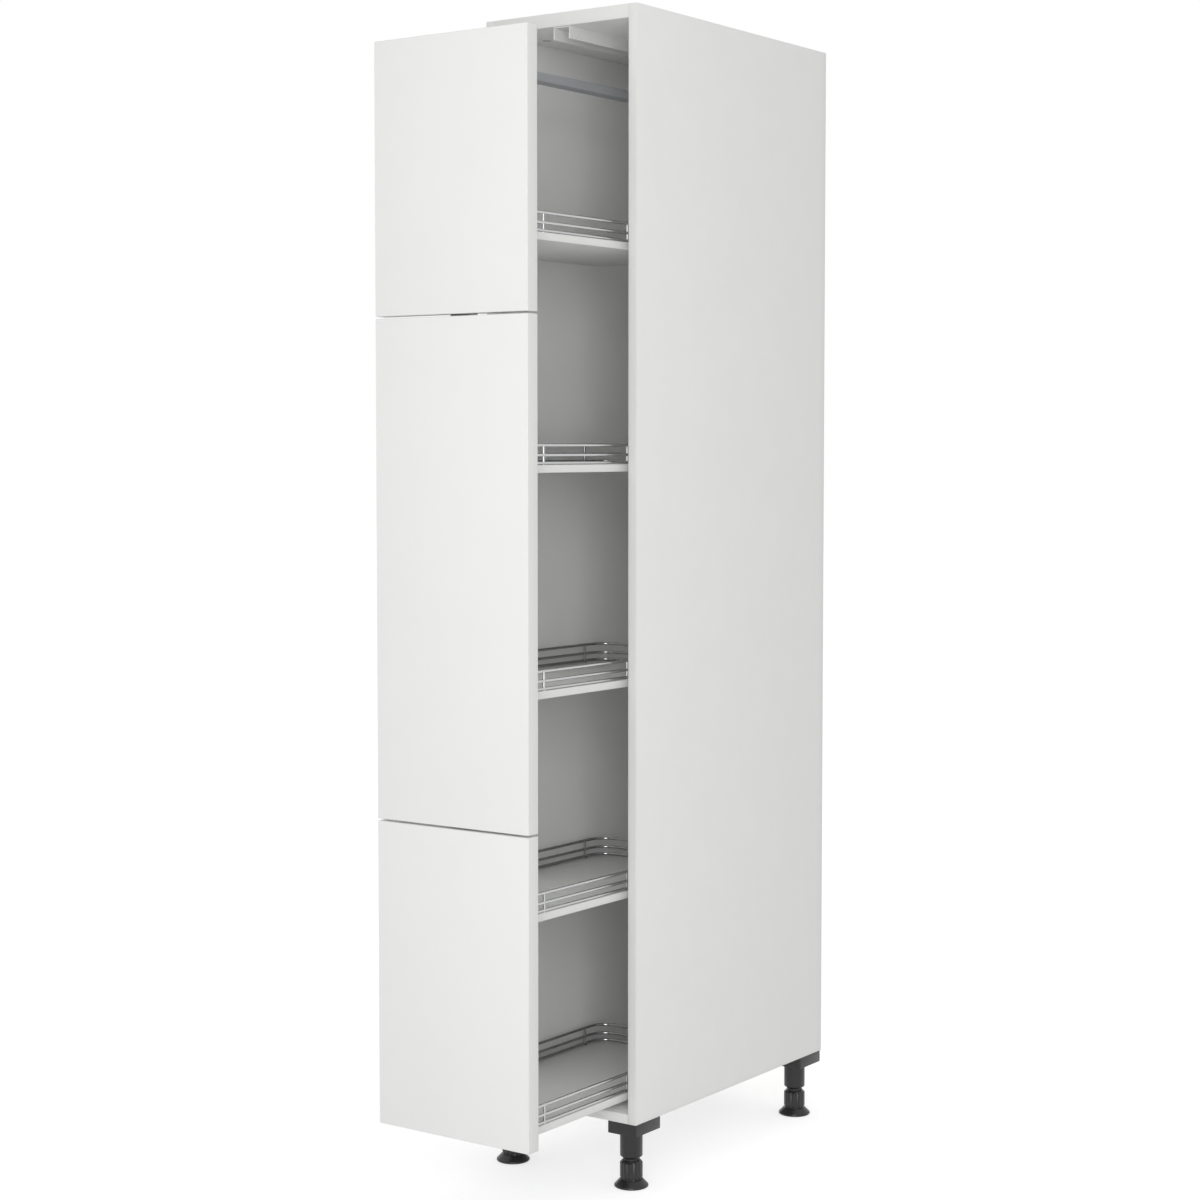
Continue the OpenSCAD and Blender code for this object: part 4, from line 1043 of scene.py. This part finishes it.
# %% [markdown]
# ## End plugs
# Moulded plugs close the open ends of the frame's steel tubes: one with a lip behind the top
# bar, and one in the top of each post. The tubes are right as they are and stay, so a plug is
# an addition. It takes its size from the tube's outside and wall, and its corners are rounded
# like the tube's, which a plain block would stick out of.

# %% Shape a plug
TUBE_WALL = 1.5 * MM
TUBE_CORNER_R = 2.5 * MM
CORNER_STEPS = 4
PLUG_DEPTH = 12 * MM
PLUG_LIP = 1.2 * MM


def plug_part(mesh, low, high, axis, corner_r):
    """A block whose edges along one axis are rounded, as the corners of a drawn tube are."""
    before = set(mesh.edges)
    block(low, high, mesh)
    round_edges(mesh, corner_r, CORNER_STEPS, [
        e for e in mesh.edges if e not in before
        and abs(e.verts[0].co[axis] - e.verts[1].co[axis]) > PLUG_LIP / 2])


def bore_of(low, high, axis):
    """The corners of a tube's inside, where the tube runs along an axis."""
    wall = Vector((TUBE_WALL, TUBE_WALL, TUBE_WALL))
    wall[axis] = 0
    return low + wall, high - wall


print("A tube's wall is", TUBE_WALL / MM, "mm thick")

# %% Plug the top bar
PLUG_EDGE_R = 0.4 * MM
low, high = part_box("top_bar")
inner_low, inner_high = bore_of(low, high, Y)
inner_low.y = high.y - PLUG_DEPTH
mesh = bmesh.new()
plug_part(mesh, inner_low, inner_high, Y, TUBE_CORNER_R - TUBE_WALL)
plug_part(mesh, (low.x + PLUG_EDGE_R, high.y, low.z + PLUG_EDGE_R),
          (high.x - PLUG_EDGE_R, high.y + PLUG_LIP, high.z - PLUG_EDGE_R), Y,
          TUBE_CORNER_R - PLUG_EDGE_R)
round_edges(mesh, PLUG_EDGE_R, SOFT_STEPS, [
    e for e in mesh.edges if e.calc_face_angle(0) > SHARP_ANGLE
    and all(v.co.y > high.y + PLUG_LIP / 2 for v in e.verts)])
new_piece("top_bar_plug", mesh, "top_bar", (black_plastic,), "black_plastic")

# %% Plug the posts
PLUG_SUNK = 0.3 * MM
mesh = bmesh.new()
for post in ("front_post", "rear_post"):
    inner_low, inner_high = bore_of(*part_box(post), Z)
    inner_high.z -= PLUG_SUNK
    inner_low.z = inner_high.z - PLUG_DEPTH
    plug_part(mesh, inner_low, inner_high, Z, TUBE_CORNER_R - TUBE_WALL)
new_piece("post_plugs", mesh, "rear_post", (black_plastic,), "black_plastic")

# %% [markdown]
# ## Floor, background and light
# The drawing stands on white paper. A plain floor gives the feet their contact shadow. Stronger
# lamps would make it white, and would burn out the white boards too. So the floor and the world
# glow only for rays that come straight from the camera or off a mirror-like surface, and the
# lamps stay plain: a weak one in front on the left, a stronger one on the camera's side.

# %% Lay the floor
FLOOR_SIZE = 40
floor_mesh = bmesh.new()
bmesh.ops.create_grid(floor_mesh, x_segments=1, y_segments=1, size=FLOOR_SIZE / 2)
floor_data = bpy.data.meshes.new("floor")
floor_mesh.to_mesh(floor_data)
floor_mesh.free()
floor = bpy.data.objects.new("floor", floor_data)
bpy.context.scene.collection.objects.link(floor)
floor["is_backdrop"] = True
print("The floor is", FLOOR_SIZE, "m square")

# %% Let only direct looks see white
def looked_at(tree):
    """1 for a ray from the camera, or one that a glossy or clear surface sends on."""
    rays = add_node(tree, "ShaderNodeLightPath").outputs
    seen = add_node(tree, "ShaderNodeMath", {"operation": "MAXIMUM"},
                    {0: rays["Is Camera Ray"], 1: rays["Is Glossy Ray"]}).outputs[0]
    return add_node(tree, "ShaderNodeMath", {"operation": "MAXIMUM"},
                    {0: seen, 1: rays["Is Transmission Ray"]}).outputs[0]


# Matt paint: no highlight, only the shadow, and a glow that lifts it close to white.
FLOOR_GLOW = 0.60
floor_finish = bpy.data.materials.new("pale studio floor")
floor_finish.use_nodes = True
tree = floor_finish.node_tree
tree.nodes.clear()
paint = add_node(tree, "ShaderNodeBsdfDiffuse", {}, {"Color": colour("D8D8D8")}).outputs[0]
glow_power = add_node(tree, "ShaderNodeMath", {"operation": "MULTIPLY"},
                      {0: looked_at(tree), 1: FLOOR_GLOW}).outputs[0]
glow = add_node(tree, "ShaderNodeEmission", {}, {"Strength": glow_power}).outputs[0]
both = add_node(tree, "ShaderNodeAddShader", {}, {0: paint, 1: glow}).outputs[0]
add_node(tree, "ShaderNodeOutputMaterial", {}, {"Surface": both})
floor_data.materials.append(floor_finish)
print("The floor glows at", FLOOR_GLOW)

# %% Light the world
WORLD_LIGHT, WHITE = 0.62, 1.0
world = bpy.data.worlds.new("studio")
bpy.context.scene.world = world
world.use_nodes = True
tree = world.node_tree
tree.nodes.clear()
strength = add_node(tree, "ShaderNodeMapRange", {},
                    {"Value": looked_at(tree), "To Min": WORLD_LIGHT, "To Max": WHITE}).outputs[0]
air = add_node(tree, "ShaderNodeBackground", {},
               {"Color": colour("FFFFFF"), "Strength": strength}).outputs[0]
add_node(tree, "ShaderNodeOutputWorld", {}, {"Surface": air})
print("The air gives", WORLD_LIGHT, "of white")

# %% Hang the lamps
AIM_AT = (0, 0, 0.9)
LEFT_AT, LEFT_SIZE, LEFT_WATTS = (-2.6, -4.4, 2.2), 3.0, 8
RIGHT_AT, RIGHT_SIZE, RIGHT_WATTS = (2.5, -3.7, 1.5), 2.4, 76


def soft_box(name, at, towards, size, power):
    """A square area lamp that faces a point."""
    data = bpy.data.lights.new(name, "AREA")
    data.size, data.energy = size, power
    lamp = bpy.data.objects.new(name, data)
    lamp.location = at
    lamp.rotation_euler = (Vector(towards) - Vector(at)).to_track_quat("-Z", "Y").to_euler()
    bpy.context.scene.collection.objects.link(lamp)


soft_box("left soft box", LEFT_AT, AIM_AT, LEFT_SIZE, LEFT_WATTS)
soft_box("right soft box", RIGHT_AT, AIM_AT, RIGHT_SIZE, RIGHT_WATTS)
bpy.context.scene.view_settings.view_transform = "Standard"
print("Two soft boxes and a plain world")

# %% Measure the visual box
low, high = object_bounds()
print("Visual box in mm:", [round(v / MM) for v in high - low])
